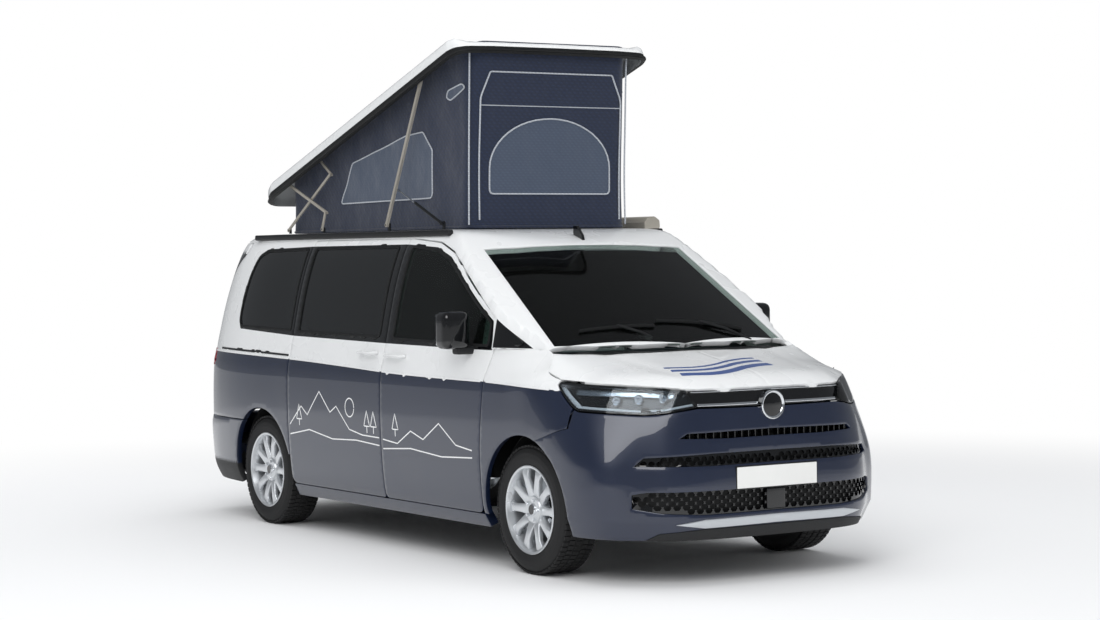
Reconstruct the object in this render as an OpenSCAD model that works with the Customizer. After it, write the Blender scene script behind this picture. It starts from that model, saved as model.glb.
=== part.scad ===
// Camper van with a raised pop-up roof, +X forwards, +Y to its left, +Z up.
// The origin lies on the ground, midway along and across the van.

/* [Body] */
// Overall length of the body
body_l = 5173; // [4900:1:6200]
// Overall width of the body without its mirrors
body_w = 1941; // [1640:1:2330]
// From the front bumper to the front axle
front_overhang = 949; // [920:1:1000]
// Between the axles
wheelbase = 3124; // [2950:1:3300]
// Height of the lower edge of doors and wings
door_bottom = 292; // [285:1:310]
// Thickness of doors and walls, measured across
wall_t = 70; // [50:1:90]
// Thickness of the roof and bonnet skins, measured down
roof_t = 26; // [20:1:34]
// Gap between a panel that opens and its neighbours
shut_gap = 6; // [5:0.5:8]

/* [Glass] */
// Thickness of every pane, measured across
glass_t = 9; // [7:1:14]
// How deep a pane sits in its frame
glass_inset = 4; // [2:1:8]
// Clearance between a pane and its frame
glass_fit = 0.3; // [0.3:0.1:1]

/* [Wheels] */
// Outside diameter of a tyre
tyre_d = 690; // [640:1:710]
// Width of a tyre
tyre_w = 235; // [195:1:245]
// Outside diameter of a rim
rim_d = 462; // [430:1:480]
// Number of spokes
spokes = 10; // [5:1:12]
// Radius of the wheel arches
arch_r = 395; // [385:1:415]
// Radius of the hub spigot that centres a wheel
hub_r = 32.5; // [28:0.5:36]
// Running clearance of a wheel on its hub
hub_fit = 0.08; // [0.05:0.01:0.1]

/* [Raised roof] */
// Angle at which the lid stands open
lid_angle = 18; // [14:0.1:19]
// Width of the lid
lid_w = 1364; // [1340:1:1380]
// Thickness of the lid's shell
lid_t = 24; // [18:1:26]
// Width of the tent
tent_w = 1130; // [1080:1:1140]
// Thickness of the tent fabric
tent_t = 6; // [4:1:10]
// Length of a main strut between its pivots
strut_l = 947; // [900:1:955]
// Thickness of the links at the rear
link_t = 8; // [5:1:9]
// Radius of the linkage pins
pin_r = 6; // [4:0.5:8]
// Running clearance of a link on its pin
pin_fit = 0.06; // [0.05:0.01:0.1]

/* [Hidden] */
$fn = 48;

half_w = body_w / 2;
front_x = body_l / 2;
rear_x = -body_l / 2;
axle_f = front_x - front_overhang;
axle_r = axle_f - wheelbase;
touch = 0.3;
far = 3 * body_l;

// Points of the side view: f counts from the front axle, b from the rear end.
function f(x, z) = [axle_f + x, z];
function b(x, z) = [rear_x + x, z];

// Body section, from the sill up: [height, how far the side lies in from half_w]
section_steps = [[205, 75], [350, 26], [600, 6], [800, 0], [1000, 5], [1070, 16], [1200, 46],
  [1500, 110], [1700, 175], [1780, 215], [1832, 252], [1850, 300]];
roof_z = 1850;
upper_z = 1600;
side_top_z = 1806;
belt_z = 1215;

// Rear end, from the bottom up: [distance ahead of the rear end, height]
rear_steps = [[60, 205], [12, 300], [0, 380], [0, 600], [20, 640], [45, 665], [52, 900],
  [60, 1100], [85, 1300], [190, 1740], [235, 1830], [300, roof_z]];
gate_half = 755;
gate_bottom = 668;
gate_pivot = [rear_x + 222, side_top_z - 2];

// Plan of the rear corner: [distance ahead of the rear end, in from half_w]
rear_plan = [[820, 0], [450, 30], [200, 85], [90, 145], [30, 225], [8, 370], [0, 700]];
// Plans of the nose: [distance behind the front end, in from half_w]
nose_low = [[4, 640], [25, 470], [85, 330], [199, 205], [290, 88], [400, 30], [560, 0]];
nose_high = [[40, 670], [80, 480], [199, 335], [330, 215], [480, 112], [700, 45], [900, 0]];
bonnet_edge = [[46, 690], [92, 505], [205, 365], [335, 250], [480, 172], [660, 122], [900, 176]];

// Stations along the side
door_rear = axle_f - 1530;
slide_rear = axle_r + arch_r + shut_gap;
floor_z = 480;
floor_t = 30;

// Windscreen: base at the centre line, slope and half-widths
rake = 30.9;
screen_base = [axle_f + 150, 1200];
screen_len = 1061;
screen_bend = 4260;

// Places of the wheels
wheel_z = tyre_d / 2;
wheel_y = half_w - 43 - tyre_w / 2;
hub_face = wheel_y + 20;
hub_len = 46;

module both() {
  children();
  mirror([0, 1, 0]) children();
}
// Draws a [y, z] outline out along the van.
module along(x0, x1) translate([x0, 0, 0]) rotate([90, 0, 90]) linear_extrude(x1 - x0) children();
// Draws an [x, z] outline from the centre plane out to the right.
module to_right(y0 = 0, y1 = 1300) translate([0, -y0, 0]) rotate([90, 0,
    0]) linear_extrude(y1 - y0) children();
// Draws an [x, z] outline right across the van.
module across(half = 1300) rotate([90, 0, 0]) linear_extrude(2 * half, center = true) children();

function near_roof(z, drop) = z > upper_z ? z - drop : z;
module section(inset = 0, drop = 0, base = 205) {
  side = [for (s = section_steps) [half_w - s[1] - inset, s[0] == 205 ? base : near_roof(s[0], drop)]];
  polygon(concat(side, [for (i = [len(side) - 1:-1:0]) [-side[i][0], side[i][1]]]));
}
module plan(ahead = 0, inset = 0) {
  side = concat([for (i = [len(rear_plan) - 1:-1:0]) [rear_x + ahead + rear_plan[i][0],
      half_w - inset - rear_plan[i][1]]],
    [[front_x, half_w - inset]]);
  polygon(concat(side, [for (i = [len(side) - 1:-1:0]) [side[i][0], -side[i][1]]]));
}
module profile(ahead = 0, drop = 0) {
  polygon(concat([for (s = rear_steps) [rear_x + ahead + s[0], min(s[1], roof_z - drop)]],
    [f(-1250, roof_z - drop), f(-1120, 1843 - drop), f(-1000, 1824 - drop), f(-880, 1791 - drop),
     f(-760, 1747 - drop), f(900, 1747 - drop), f(900, 205)]));
}
module body_solid(inset = 0, ahead = 0, drop = 0, base = 205) {
  intersection() {
    along(rear_x, front_x) section(inset, drop, base);
    across() profile(ahead, drop);
    linear_extrude(roof_z + 10) plan(ahead, inset);
  }
}
module shell(t = wall_t, ahead = 62) {
  difference() {
    body_solid();
    body_solid(t, ahead, roof_t, 100);
  }
}
// The straight part of the sides only, which is quicker to cut
module side_skin(t = wall_t, inset = 0) {
  along(rear_x + 500, front_x - 300) difference() {
    section(inset, inset / 3);
    section(inset + t, roof_t + inset / 3, 100);
  }
}
module behind_screen(out = 0) {
  arc = [for (i = [-10:10]) [-out + (i * 100) * (i * 100) / (2 * screen_bend), i * 100]];
  translate([screen_base[0], 0, screen_base[1]]) rotate([0, 90 + rake, 0])
    translate([0, 0, -screen_len - 900]) linear_extrude(screen_len + 2400)
      polygon(concat([[3000, -1000]], arc, [[3000, 1000]]));
}
// Half outline of the windscreen: [up the slope, from the centre line]
screen_half = [[0, 0], [22, 280], [75, 540], [158, 756], [1135, 673], [1092, 480], [1068, 240], [1061, 0]];
module screen_area(grow = 0) {
  translate([screen_base[0], 0, screen_base[1]]) rotate([0, 180 + rake, 0]) linear_extrude(600, center = true)
    offset(delta = grow) polygon(concat(screen_half, [for (i = [6:-1:1]) [screen_half[i][0],
        -screen_half[i][1]]]));
}
// The bonnet's crown, drawn out along its slope. down lowers the surface.
crown = [[0, 0], [400, 10], [650, 32], [800, 58], [880, 88], [960, 135]];
bonnet_slope = 10.5;
module crown_solid(down = 0) {
  side = [for (c = crown) [c[0], -c[1] - down]];
  translate([front_x - 60, 0, 1046]) rotate([0, bonnet_slope, 0]) translate([-1100, 0, 0]) rotate([90, 0, 90])
    linear_extrude(1400) polygon(concat(side, [[960, -900], [-960, -900]],
        [for (i = [len(side) - 1:-1:0]) [-side[i][0], side[i][1]]]));
}
function nose(table, inset = 0) = [for (p = table) [front_x - p[0] - inset, half_w - p[1] - inset]];
module nose_plan(table, inset = 0, back = 1000) {
  side = nose(table, inset);
  last = side[len(side) - 1];
  polygon(concat([[front_x - back, -last[1]]], [for (i = [len(side) - 1:-1:0]) [side[i][0], -side[i][1]]],
    side, [[front_x - back, last[1]]]));
}
module wheel_space(x, r, y0 = 0) both() translate([x, -y0, wheel_z]) rotate([90, 0, 0]) cylinder(r = r,
    h = 1300 - y0);

// Outlines of the side, as [x, z]
front_door_outline = [f(-440, door_bottom), f(-430, 640), f(-386, 1020), f(-362, 1172), f(-368, 1350),
  f(-830, 1640), f(-960, 1712), f(-1150, 1768), [door_rear + 30, side_top_z - shut_gap],
  [door_rear, side_top_z - shut_gap], [door_rear, door_bottom]];
front_window = [f(-412, belt_z), f(-412, 1330), f(-845, 1602), f(-970, 1674), f(-1160, 1730),
  [door_rear + 90, 1764], [door_rear + 90, belt_z + 12]];
slide_outline = [[door_rear - shut_gap, door_bottom], [door_rear - shut_gap, side_top_z - shut_gap],
  [slide_rear, side_top_z - shut_gap], [slide_rear, door_bottom]];
slide_window = [[door_rear - 90, belt_z + 12], [door_rear - 90, 1764], [slide_rear + 62, 1764],
  [slide_rear + 62, belt_z + 20]];
rear_side_outline = [[slide_rear - shut_gap, 470], [slide_rear - shut_gap, side_top_z],
  [rear_x - 10, side_top_z], [rear_x - 10, gate_bottom], [axle_r - arch_r + 6, 640], [axle_r, wheel_z]];
rear_window_outline = [[slide_rear - 62, belt_z + 22], [slide_rear - 62, 1764], b(780, 1764), b(730, 1714),
  b(684, 1586), b(660, 1358), b(672, 1290), b(735, belt_z + 36)];
wing_outline = [f(-440 + shut_gap, door_bottom), f(-430 + shut_gap, 640), f(-386 + shut_gap, 1020),
  f(-362 + shut_gap, 1172), f(-362 + shut_gap, 1190), f(30, 1190), f(272, 1085), f(272, 1036), f(484,
      895), f(395, 770), f(0, wheel_z)];
quarter_outline = [f(-100, 1207), f(-338, 1203), f(-338, 1328)];

// Slanted outlines of the upper structure
pillar_outline = [f(-362 + shut_gap, 1190), f(-368 + shut_gap, 1350 + shut_gap), f(-830 + 3, 1640 + shut_gap),
  f(-960, 1712 + shut_gap + 2), f(-1150, 1768 + shut_gap + 2), [door_rear + 30, side_top_z], f(-1530,
      side_top_z),
  f(-1530, roof_z + 20), f(-700, roof_z + 20), f(400, 1190)];

module roof_frame() {
  color("white") difference() {
    union() {
      // sides above the doors, with the cab pillars
      intersection() {
        difference() {
          body_solid();
          body_solid(105, 62, roof_t, 100);
        }
        union() {
          to_right() polygon(pillar_outline);
          mirror([0, 1, 0]) to_right() polygon(pillar_outline);
          across() polygon([f(-1520, side_top_z), f(-1520, roof_z + 20), [rear_x - 10, roof_z + 20],
              [rear_x - 10, side_top_z]]);
        }
      }
      // cab roof and its header
      intersection() {
        body_solid();
        across() polygon([f(-1400, roof_z + 5), f(-1000, roof_z + 5), f(-700, 1780), f(-740, 1700),
            f(-900, 1752), f(-1010, 1790), f(-1180, 1814), f(-1400, roof_z - roof_t)]);
      }
    }
    difference() {
      translate([axle_f - 900, -1200, 1000]) cube([2500, 2400, 1100]);
      behind_screen();
    }
    screen_area();
    both() to_right(500) polygon(quarter_outline);
    hatch(0);
    gate_pins(knuckle_r + shut_gap, shut_gap);
  }
  color("white") intersection() {
    gate_pins(hinge_r, 30);
    body_solid();
  }
}
hatch_front = axle_f - 1195;
hatch_rear = rear_x + 800;
hatch_half = 552;
module hatch(grow) translate([hatch_rear - grow, -hatch_half - grow, 1700])
  cube([hatch_front - hatch_rear + 2 * grow, 2 * (hatch_half + grow), 300]);

module bonnet() {
  color("#1f2d45") difference() {
    union() {
      intersection() {
        difference() {
          crown_solid();
          crown_solid(roof_t);
        }
        linear_extrude(1400) bonnet_plan();
      }
      bonnet_pins(knuckle_r, 0);
      for (y = bonnet_hinge_y) translate([bonnet_pivot[0], y, bonnet_pivot[1] - 8]) cube([40, 40, 14]);
    }
    bonnet_pins(hinge_r + hinge_fit, 1);
    // room for the hinge brackets on the body
    for (y = bonnet_hinge_y) for (e = [-32, 46]) translate([bonnet_pivot[0] - 20, y + e, 1080]) cube([32,
        26, 120]);
  }
}
bonnet_rear = [[900, 176], [845, 300], [780, 520], [750, half_w]];
module bonnet_plan(grow = 0) {
  rear = [for (p = bonnet_rear) [front_x - p[0] - grow, half_w - p[1]]];
  side = [for (p = bonnet_edge) [front_x - p[0] + grow, half_w - p[1] + grow]];
  right = concat(side, rear);
  polygon(concat([for (p = right) [p[0], p[1]]], [for (i = [len(right) - 1:-1:0]) [right[i][0],
      -right[i][1]]]));
}
bonnet_pivot = [front_x - 905, 1138];

module nose_ring(table, z0, z1, t = 70) {
  translate([0, 0, z0]) linear_extrude(z1 - z0) difference() {
    nose_plan(table);
    nose_plan(table, t, 1010);
  }
}
nose_split = 770;
band_bottom = 905;
band_top = 985;
module front_bumper() {
  color("#1f2d45") difference() {
    union() {
      nose_ring(nose_low, 225, nose_split);
      intersection() {
        nose_ring(nose_high, nose_split, band_bottom);
        across() polygon([f(490, nose_split), f(484, 895), f(560, band_bottom), [front_x + 10,
            band_bottom], [front_x + 10, nose_split]]);
      }
      translate([front_x - 470, -520, 225]) cube([401, 1040, 14]);
    }
    wheel_space(axle_f, arch_r);
    across() polygon([f(395, nose_split), f(484, 895), f(484, 1000), f(-400, 1000), f(-400, 0), f(0, 0),
        f(0, wheel_z)]);
    // air intakes
    translate([front_x - 200, -430, 370]) cube([400, 860, 115]);
    translate([front_x - 200, -430, 605]) cube([400, 860, 62]);
    translate([front_x - 200, -430, 742]) cube([400, 860, 20]);
    // threaded seat for the towing eye
    translate([front_x - 200, tow_y, tow_z]) rotate([0, 90, 0]) cylinder(r = tow_r, h = 300);
    translate([front_x - 30, tow_y, tow_z]) rotate([0, 90, 0]) cylinder(r = 34, h = 100);
  }
}
tow_r = 11;
tow_y = 395;
tow_z = 325;

module right_front_wing() {
  color("#1f2d45") difference() {
    intersection() {
      union() {
        side_skin();
        along(front_x - 870, front_x - 300) polygon([[-870, 890], [-half_w, 890], [-half_w + 5, 1000],
            [-half_w + 46, 1200], [-840, 1200], [-840, 1020]]);
      }
      to_right() polygon(wing_outline);
      linear_extrude(1400) nose_plan(nose_high, 0, 2000);
      union() {
        crown_solid();
        translate([axle_f - 500, -1200, 0]) cube([560, 1200, 1186]);
      }
    }
    wheel_space(axle_f, arch_r);
    translate([0, 0, 600]) linear_extrude(800) bonnet_plan(shut_gap);
    behind_bonnet();
    for (z = door_hinge_z) translate([door_pin_x - 60, -half_w - 1,
        z - shut_gap]) cube([60 + knuckle_r + 8, 80, hinge_h + 2 * shut_gap]);
  }
  color("#1f2d45") intersection() {
    door_pins(hinge_r, 30);
    upright_half();
  }
}
module behind_bonnet() translate([front_x - 905, -780, 900]) cube([300, 1560, 400]);

module door_hollow(outline) {
  difference() {
    intersection() {
      side_skin();
      to_right() polygon(outline);
    }
    children();
  }
}
module right_front_door() {
  color("#1f2d45") difference() {
    union() {
      door_hollow(front_door_outline) to_right() polygon(front_window);
      intersection() {
        door_pins(knuckle_r, 0);
        upright_half();
      }
      for (z = door_hinge_z) translate([door_pin_x - 46, -half_w + 30, z]) cube([46, 14, hinge_h]);
      for (z = door_hinge_z) translate([door_pin_x - 13, -half_w + 4, z]) cube([13, 30, hinge_h]);
    }
    door_pins(hinge_r + hinge_fit, 32);
  }
}
module right_sliding_door() {
  color("#1f2d45") {
    door_hollow(slide_outline) to_right() polygon(slide_window);
    // roller blocks that stand in the sill
    for (x = [slide_rear + 200, door_rear - 260]) translate([x, -half_w + 85,
        door_bottom - shut_gap]) cube([60, 30, 40]);
  }
}
tail_low = 985;
tail_high = 1105;
tail_depth = 34;
module tail_area(grow = 0) {
  to_right(gate_half + 22 - grow) polygon([b(-10, tail_low - grow), b(150 + grow, tail_low - grow),
      b(215 + grow, tail_high + grow), b(-10, tail_high + grow)]);
}
module right_rear_side_panel() {
  color("white") difference() {
    intersection() {
      shell();
      to_right() polygon(rear_side_outline);
    }
    to_right() polygon(rear_window_outline);
    wheel_space(axle_r, arch_r);
    translate([rear_x - 10, -gate_half - shut_gap, 0]) cube([400, gate_half + shut_gap, 3000]);
    tail_area();
  }
}
module tail_lights() {
  color("#a01818") both() intersection() {
    difference() {
      body_solid();
      body_solid(tail_depth, tail_depth, 0, 100);
    }
    tail_area(-glass_fit);
  }
}
module rear_bumper() {
  color("#1f2d45") difference() {
    intersection() {
      shell(wall_t, 80);
      across() polygon([[axle_r - arch_r + 6, 640], [rear_x - 10, gate_bottom - shut_gap - 4],
          [rear_x - 10, 235], [axle_r - 300, 235], [axle_r, wheel_z]]);
    }
    wheel_space(axle_r, arch_r);
  }
}
module tailgate() {
  color("#1f2d45") difference() {
    intersection() {
      shell();
      translate([rear_x - 10, -gate_half, gate_bottom]) cube([500, 2 * gate_half,
          side_top_z - shut_gap - gate_bottom]);
    }
    gate_window();
    translate([rear_x + 330, -half_w, 0]) cube([far, body_w, 3000]);
    gate_pins(hinge_r + shut_gap, 34);
  }
  color("#1f2d45") difference() {
    intersection() {
      union() {
        gate_pins(knuckle_r, 0);
        for (y = gate_hinge_y) translate([gate_pivot[0] - 10, y, gate_pivot[1] - 40]) cube([40, 80, 40]);
      }
      body_solid();
    }
    gate_pins(hinge_r + hinge_fit, 1);
  }
}
gate_glass = [[650, 1190], [600, 1720]];
module gate_window(shrink = 0) {
  along(rear_x - 20, rear_x + 320) polygon([[-gate_glass[0][0] + shrink, gate_glass[0][1] + shrink],
      [gate_glass[0][0] - shrink, gate_glass[0][1] + shrink],
    [gate_glass[1][0] - shrink, gate_glass[1][1] - shrink], [-gate_glass[1][0] + shrink,
        gate_glass[1][1] - shrink]]);
}
module rear_window() {
  color("#20262c") intersection() {
    difference() {
      body_solid(0, glass_inset, 0);
      body_solid(0, glass_inset + glass_t, 0, 100);
    }
    gate_window(glass_fit);
  }
}
module pane(outline) {
  intersection() {
    side_skin(glass_t, glass_inset);
    to_right() offset(delta = -glass_fit) polygon(outline);
  }
}
module right_door_glass() color("#3c4a48") pane(front_window);
module side_windows() {
  color("#15191e") both() {
    pane(quarter_outline);
    pane(slide_window);
    pane(rear_window_outline);
  }
}

module windscreen() {
  color("#9fb5b0") intersection() {
    difference() {
      behind_screen(-2);
      behind_screen(-2 - glass_t);
    }
    screen_area(-glass_fit);
  }
}

sill_front = axle_f - 440;
module sills() {
  color("#1f2d45") both() {
    intersection() {
      along(slide_rear, sill_front) section();
      to_right(half_w - 175) polygon([[sill_front, 205], [sill_front, door_bottom - shut_gap],
        [slide_rear, door_bottom - shut_gap], [slide_rear, 205]]);
    }
    web = axle_r + housing_r + housing_t + 2;
    translate([web, -half_w + 140, door_bottom - shut_gap - 10]) cube([sill_front - 30 - web, 35,
        floor_z - door_bottom + shut_gap + 10]);
  }
}
rail_in = 405;
rail_out = 470;
rail_z = 420;
rail_h = 80;
housing_r = 425;
housing_t = 8;
rear_inner = 590;
module floor_pan() {
  color("#3a3d40") difference() {
    union() {
      translate([0, 0, floor_z]) linear_extrude(floor_t) intersection() {
        plan(80, 96);
        translate([rear_x, -half_w]) square([axle_f - 470 - rear_x, body_w]);
      }
      // bulkhead and scuttle, under the windscreen
      translate([axle_f - 470, -860, floor_z]) cube([25, 1720, 598]);
      translate([axle_f - 470, -780, 1078]) cube([500, 1560, 50]);
      // side rails and the beam behind the bumper
      both() translate([axle_f - 470, -rail_out, rail_z]) cube([front_x - 130 - axle_f + 470,
          rail_out - rail_in, rail_h]);
      translate([front_x - 190, -rail_out, rail_z + rail_h]) cube([60, 2 * rail_out, rail_h]);
      translate([front_x - 190, -240, rail_z + rail_h]) cube([120 - nose_low[0][0], 480, rail_h]);
      // pins and brackets of the bonnet hinges
      bonnet_pins(hinge_r, 26);
      for (y = bonnet_hinge_y) for (e = [-26, 52]) translate([bonnet_pivot[0] - 60, y + e,
          1100]) cube([66, 14, 48]);
    }
    wheel_space(axle_r, housing_r + housing_t + touch, rear_inner - housing_t - touch);
    wheel_space(axle_f, housing_r + housing_t + touch, rail_out - touch / 2);
  }
}
module b_pillars() {
  color("#2a2c30") both() intersection() {
    along(door_rear - 60, door_rear + 50) difference() {
      section(wall_t + shut_gap, roof_t + 14);
      section(wall_t + shut_gap + 40, roof_t + 30, 100);
      translate([-hatch_half, 1000]) square([2 * hatch_half, far]);
    }
    to_right(500) polygon([[door_rear - 60, floor_z + floor_t], [door_rear - 60, side_top_z],
      [door_rear + 50, side_top_z], [door_rear + 50, floor_z + floor_t]]);
  }
}
module housing(x, y0, y1) {
  translate([x, -y0, wheel_z]) rotate([90, 0, 0]) difference() {
    cylinder(r = housing_r + housing_t, h = y1 - y0);
    translate([0, 0, housing_t]) cylinder(r = housing_r, h = y1 - y0);
    translate([-housing_r - 20, -housing_r - 20, -1]) cube([2 * housing_r + 40, housing_r + 20, y1 - y0 + 2]);
  }
}
module wheel_housings() {
  color("#202225") both() {
    difference() {
      housing(axle_f, rail_out, half_w - 150);
      translate([axle_f - 41, -600, arm_up_z - 6]) cube([72, 200, arm_h + 12]);
    }
    difference() {
      housing(axle_r, rear_inner - housing_t, half_w - 112);
      translate([axle_r - 60, -rear_inner - 100, 0]) cube([120, 200, wheel_z + 60]);
    }
  }
}
module headlights() {
  color("#cfd6dc") both() difference() {
    intersection() {
      translate([0, 0, 850]) linear_extrude(250) difference() {
        nose_plan(nose_high);
        nose_plan(nose_high, 120, 1010);
      }
      to_right(446) polygon([f(276, 1036), f(487, 897), f(560, 905), f(800, 911), [front_x + 10, 911],
          [front_x + 10, 1060], f(276, 1060)]);
      crown_solid(roof_t + shut_gap);
    }
    translate([0, 0, 0]) cube([far, 892, 10], center = true);
  }
}
module nose_band() {
  color("#15171a") intersection() {
    nose_ring(nose_high, band_bottom, band_top, 60);
    translate([front_x - 300, -445, 800]) cube([400, 890, 400]);
    crown_solid(roof_t + shut_gap);
  }
}
plate_w = 520;
plate_h = 110;
plate_t = 8;
module front_plate() {
  color("#e8e8e4") translate([front_x - nose_low[0][0], -plate_w / 2, 485]) cube([nose_low[0][0], plate_w,
      plate_h]);
}
module rear_plate() {
  color("#e8e8e4") translate([rear_x + 49 - plate_t, -plate_w / 2, 800]) cube([plate_t, plate_w, plate_h]);
}
module roof_fin() {
  color("white") translate([axle_f - 830, -9, 1766]) rotate([90, 0, 0]) translate([0, 0,
      -18]) linear_extrude(18)
    polygon([[0, 6.9], [-50, 25], [-95, 37.5], [-95, 92], [-62, 92], [-10, 36]]);
}

mirror_y = 1126;
mirror_w = 215;
module right_mirror() {
  color("#101113") difference() {
    union() {
      translate([axle_f - 640, -mirror_y, 1246]) linear_extrude(148)
        polygon([[0, 12], [12, 0], [60, 0], [130, 60], [124, mirror_w - 55], [90, mirror_w], [0,
            mirror_w - 20]]);
      translate([axle_f - 590, -mirror_y + mirror_w - 75, 1150]) cube([70, 120, 100]);
    }
    along(axle_f - 900, axle_f - 100) section(-touch, -touch);
  }
}
rail_y = half_w - 208;
module roof_rails() {
  color("#101113") difference() {
    both() translate([rear_x + 620, -rail_y, side_top_z + 1]) cube([axle_f - 1090 - rear_x - 620, 46, 38]);
    along(rear_x, front_x) section(-touch, -touch);
  }
}
awning_l = 2600;
awning_outline = [[0, 14], [0, 76], [24, 106], [74, 114], [112, 90], [116, 44], [86, 16]];
module awning() {
  color("#101113") translate([axle_f - 1300 - awning_l, 0, 0]) rotate([90, 0, 90]) linear_extrude(awning_l)
    polygon([for (p = awning_outline) [rail_y + touch + p[0], side_top_z + p[1]]]);
}

// Hinge pins of the doors, bonnet and tailgate
hinge_r = 7;
hinge_fit = 0.06;
knuckle_r = 14;
door_pin_x = axle_f - 392;
door_hinge_z = [680, 880];
hinge_h = 36;
module door_pins(r, grow) {
  for (z = door_hinge_z) translate([door_pin_x, -half_w, z - grow]) cylinder(r = r, h = hinge_h + 2 * grow);
}
module upright_half() translate([-far / 2, -half_w + 0.4, 0]) cube([far, half_w, 2000]);
gate_hinge_y = [-520, 440];
module gate_pins(r, grow) {
  for (y = gate_hinge_y) translate([gate_pivot[0], y - grow, gate_pivot[1]]) rotate([-90, 0, 0])
    cylinder(r = r, h = 80 + 2 * grow);
}
bonnet_hinge_y = [-740, 700];
module bonnet_pins(r, grow) {
  for (y = bonnet_hinge_y) translate([bonnet_pivot[0], y - grow, bonnet_pivot[1]]) rotate([-90, 0, 0])
    cylinder(r = r, h = 40 + 2 * grow);
}

// The lid turns about this line when it opens: [x, z]
lid_pole = f(-4200, 1950);
function lifted(p) = [
  lid_pole[0] + (p[0] - lid_pole[0]) * cos(lid_angle) - (p[1] - lid_pole[1]) * sin(lid_angle),
  lid_pole[1] + (p[0] - lid_pole[0]) * sin(lid_angle) + (p[1] - lid_pole[1]) * cos(lid_angle)];
module raised() translate([lid_pole[0], 0, lid_pole[1]]) rotate([0, -lid_angle, 0])
  translate([-lid_pole[0], 0, -lid_pole[1]]) children();

// Lid as it lies when shut: [in from its side, height], then plan and side outlines
lid_half = lid_w / 2;
lid_low = roof_z + 8;
lid_rim = [[0, lid_low], [0, 1940], [26, 1968], [137, 1983], [lid_half, 1990]];
lid_ends = [f(-934, lid_low), f(-948, 1900), f(-990, 1938), f(-1100, 1972), f(-1300, 1990),
  f(-3380, 1990), f(-3540, 1972), f(-3630, 1925), f(-3658, lid_low)];
lid_corners = [f(-934, 0), f(-938, 430), f(-950, 600), f(-990, 660), f(-1060, lid_half),
  f(-3480, lid_half), f(-3600, 650), f(-3645, 570), f(-3658, 0)];
module lid_form(t) {
  base = t > 0 ? -30 : 0;
  side = [for (r = lid_rim) [-(lid_half - r[0] - t), r[1] == lid_low ? lid_low + base : r[1] - t]];
  intersection() {
    along(axle_f - 3700, axle_f - 900) polygon(concat([for (p = side) [min(p[0], -0.01), p[1]]],
      [for (i = [len(side) - 1:-1:0]) [max(-side[i][0], 0.01), side[i][1]]]));
    across() polygon([for (p = lid_ends) [p[0] + (p[0] > axle_f - 2000 ? -t : t),
        p[1] == lid_low ? lid_low + base : p[1] - t]]);
    translate([0, 0, 1500]) linear_extrude(700) polygon(concat(
      [for (p = lid_corners) [p[0] + (p[0] > axle_f - 2000 ? -t : t), max(p[1] - t, 0)]],
      [for (i = [len(lid_corners) - 2:-1:1]) [lid_corners[i][0] + (lid_corners[i][0] > axle_f - 2000 ? -t
          : t), -(lid_corners[i][1] - t)]]));
  }
}

// Planes that the linkage lies in, across the van, one link and one clearance apart
link_gap = 5;
link_pitch = link_t + link_gap;
plane_mount = 586;
plane_upper = plane_mount + link_pitch;
plane_long = plane_upper + link_pitch;
plane_cross = plane_long + link_pitch;
plane_lower = plane_cross + link_pitch;
link_w = 18;
strut_t = 16;
strut_w = 24;
strut_y = 634;
gas_y = 610;
// Pivots of the rear linkage on the body, and where its free ends stand when it is open
arm_base = f(-3383, roof_z + 22);
arm_tip = f(-2795, 2214);
lower_base = f(-2861, roof_z + 22);
lower_tip = f(-2816, 1974);
// Pivots on the shut lid
cross_shut = f(-3329, 1903);
upper_shut = f(-2904, 1912);
// Main struts and their gas springs
strut_base = f(-2023, roof_z + 35);
strut_rise = 62.5;
gas_base = f(-1411, roof_z + 35);
gas_hold = 234;
gas_tube_l = 330;
gas_rod_l = 340;
gas_tube_r = 9;
gas_rod_r = 4;
function on_strut(s) = [strut_base[0] + s * cos(strut_rise), strut_base[1] + s * sin(strut_rise)];
function rise(p, q) = atan2(q[1] - p[1], q[0] - p[0]);

// Places its children at p, with their x axis towards q, in the plane y, on the right side
module aimed(p, q, y) translate([p[0], -y, p[1]]) rotate([0, -rise(p, q), 0]) children();
module disc(r, t) rotate([90, 0, 0]) cylinder(r = r, h = t, center = true);
module link(p, q, y, w, t) {
  l = norm(q - p);
  aimed(p, q, y) difference() {
    union() {
      disc(w / 2 + 3, t);
      translate([l, 0, 0]) disc(w / 2, t);
      translate([0, -t / 2, -w / 2]) cube([l, t, w]);
    }
    disc(pin_r + pin_fit, t + 2);
  }
}
// A lug in the plane y_lug with a pin that reaches through the link in plane y_link
module lug(p, y_lug, y_link, seat) {
  up = seat > p[1] ? 1 : 0;
  translate([p[0], -y_lug, p[1]]) {
    disc(12, link_t);
    translate([-12, -link_t / 2, up ? 0 : seat - p[1]]) cube([24, link_t, abs(seat - p[1])]);
  }
  reach = abs(y_link - y_lug) + link_t;
  translate([p[0], -(y_lug + y_link) / 2, p[1]]) disc(pin_r, reach);
}
module roof_lid() {
  color("white") raised() {
    difference() {
      lid_form(0);
      lid_form(lid_t);
    }
    both() {
      // wear strip that the strut's end slides along
      translate([axle_f - 1510, -lid_half + lid_t - 2, lid_low + 8]) cube([480,
          lid_half - lid_t + 2 - strut_y - strut_t / 2 - 4 - touch, 60]);
      lug(cross_shut, plane_lower, plane_cross, 1942);
      lug(upper_shut, plane_mount, plane_upper, 1954);
    }
  }
}
tent_front = hatch_front + 25;
tent_rear = hatch_rear - 25;
tent_top = 1938;
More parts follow.
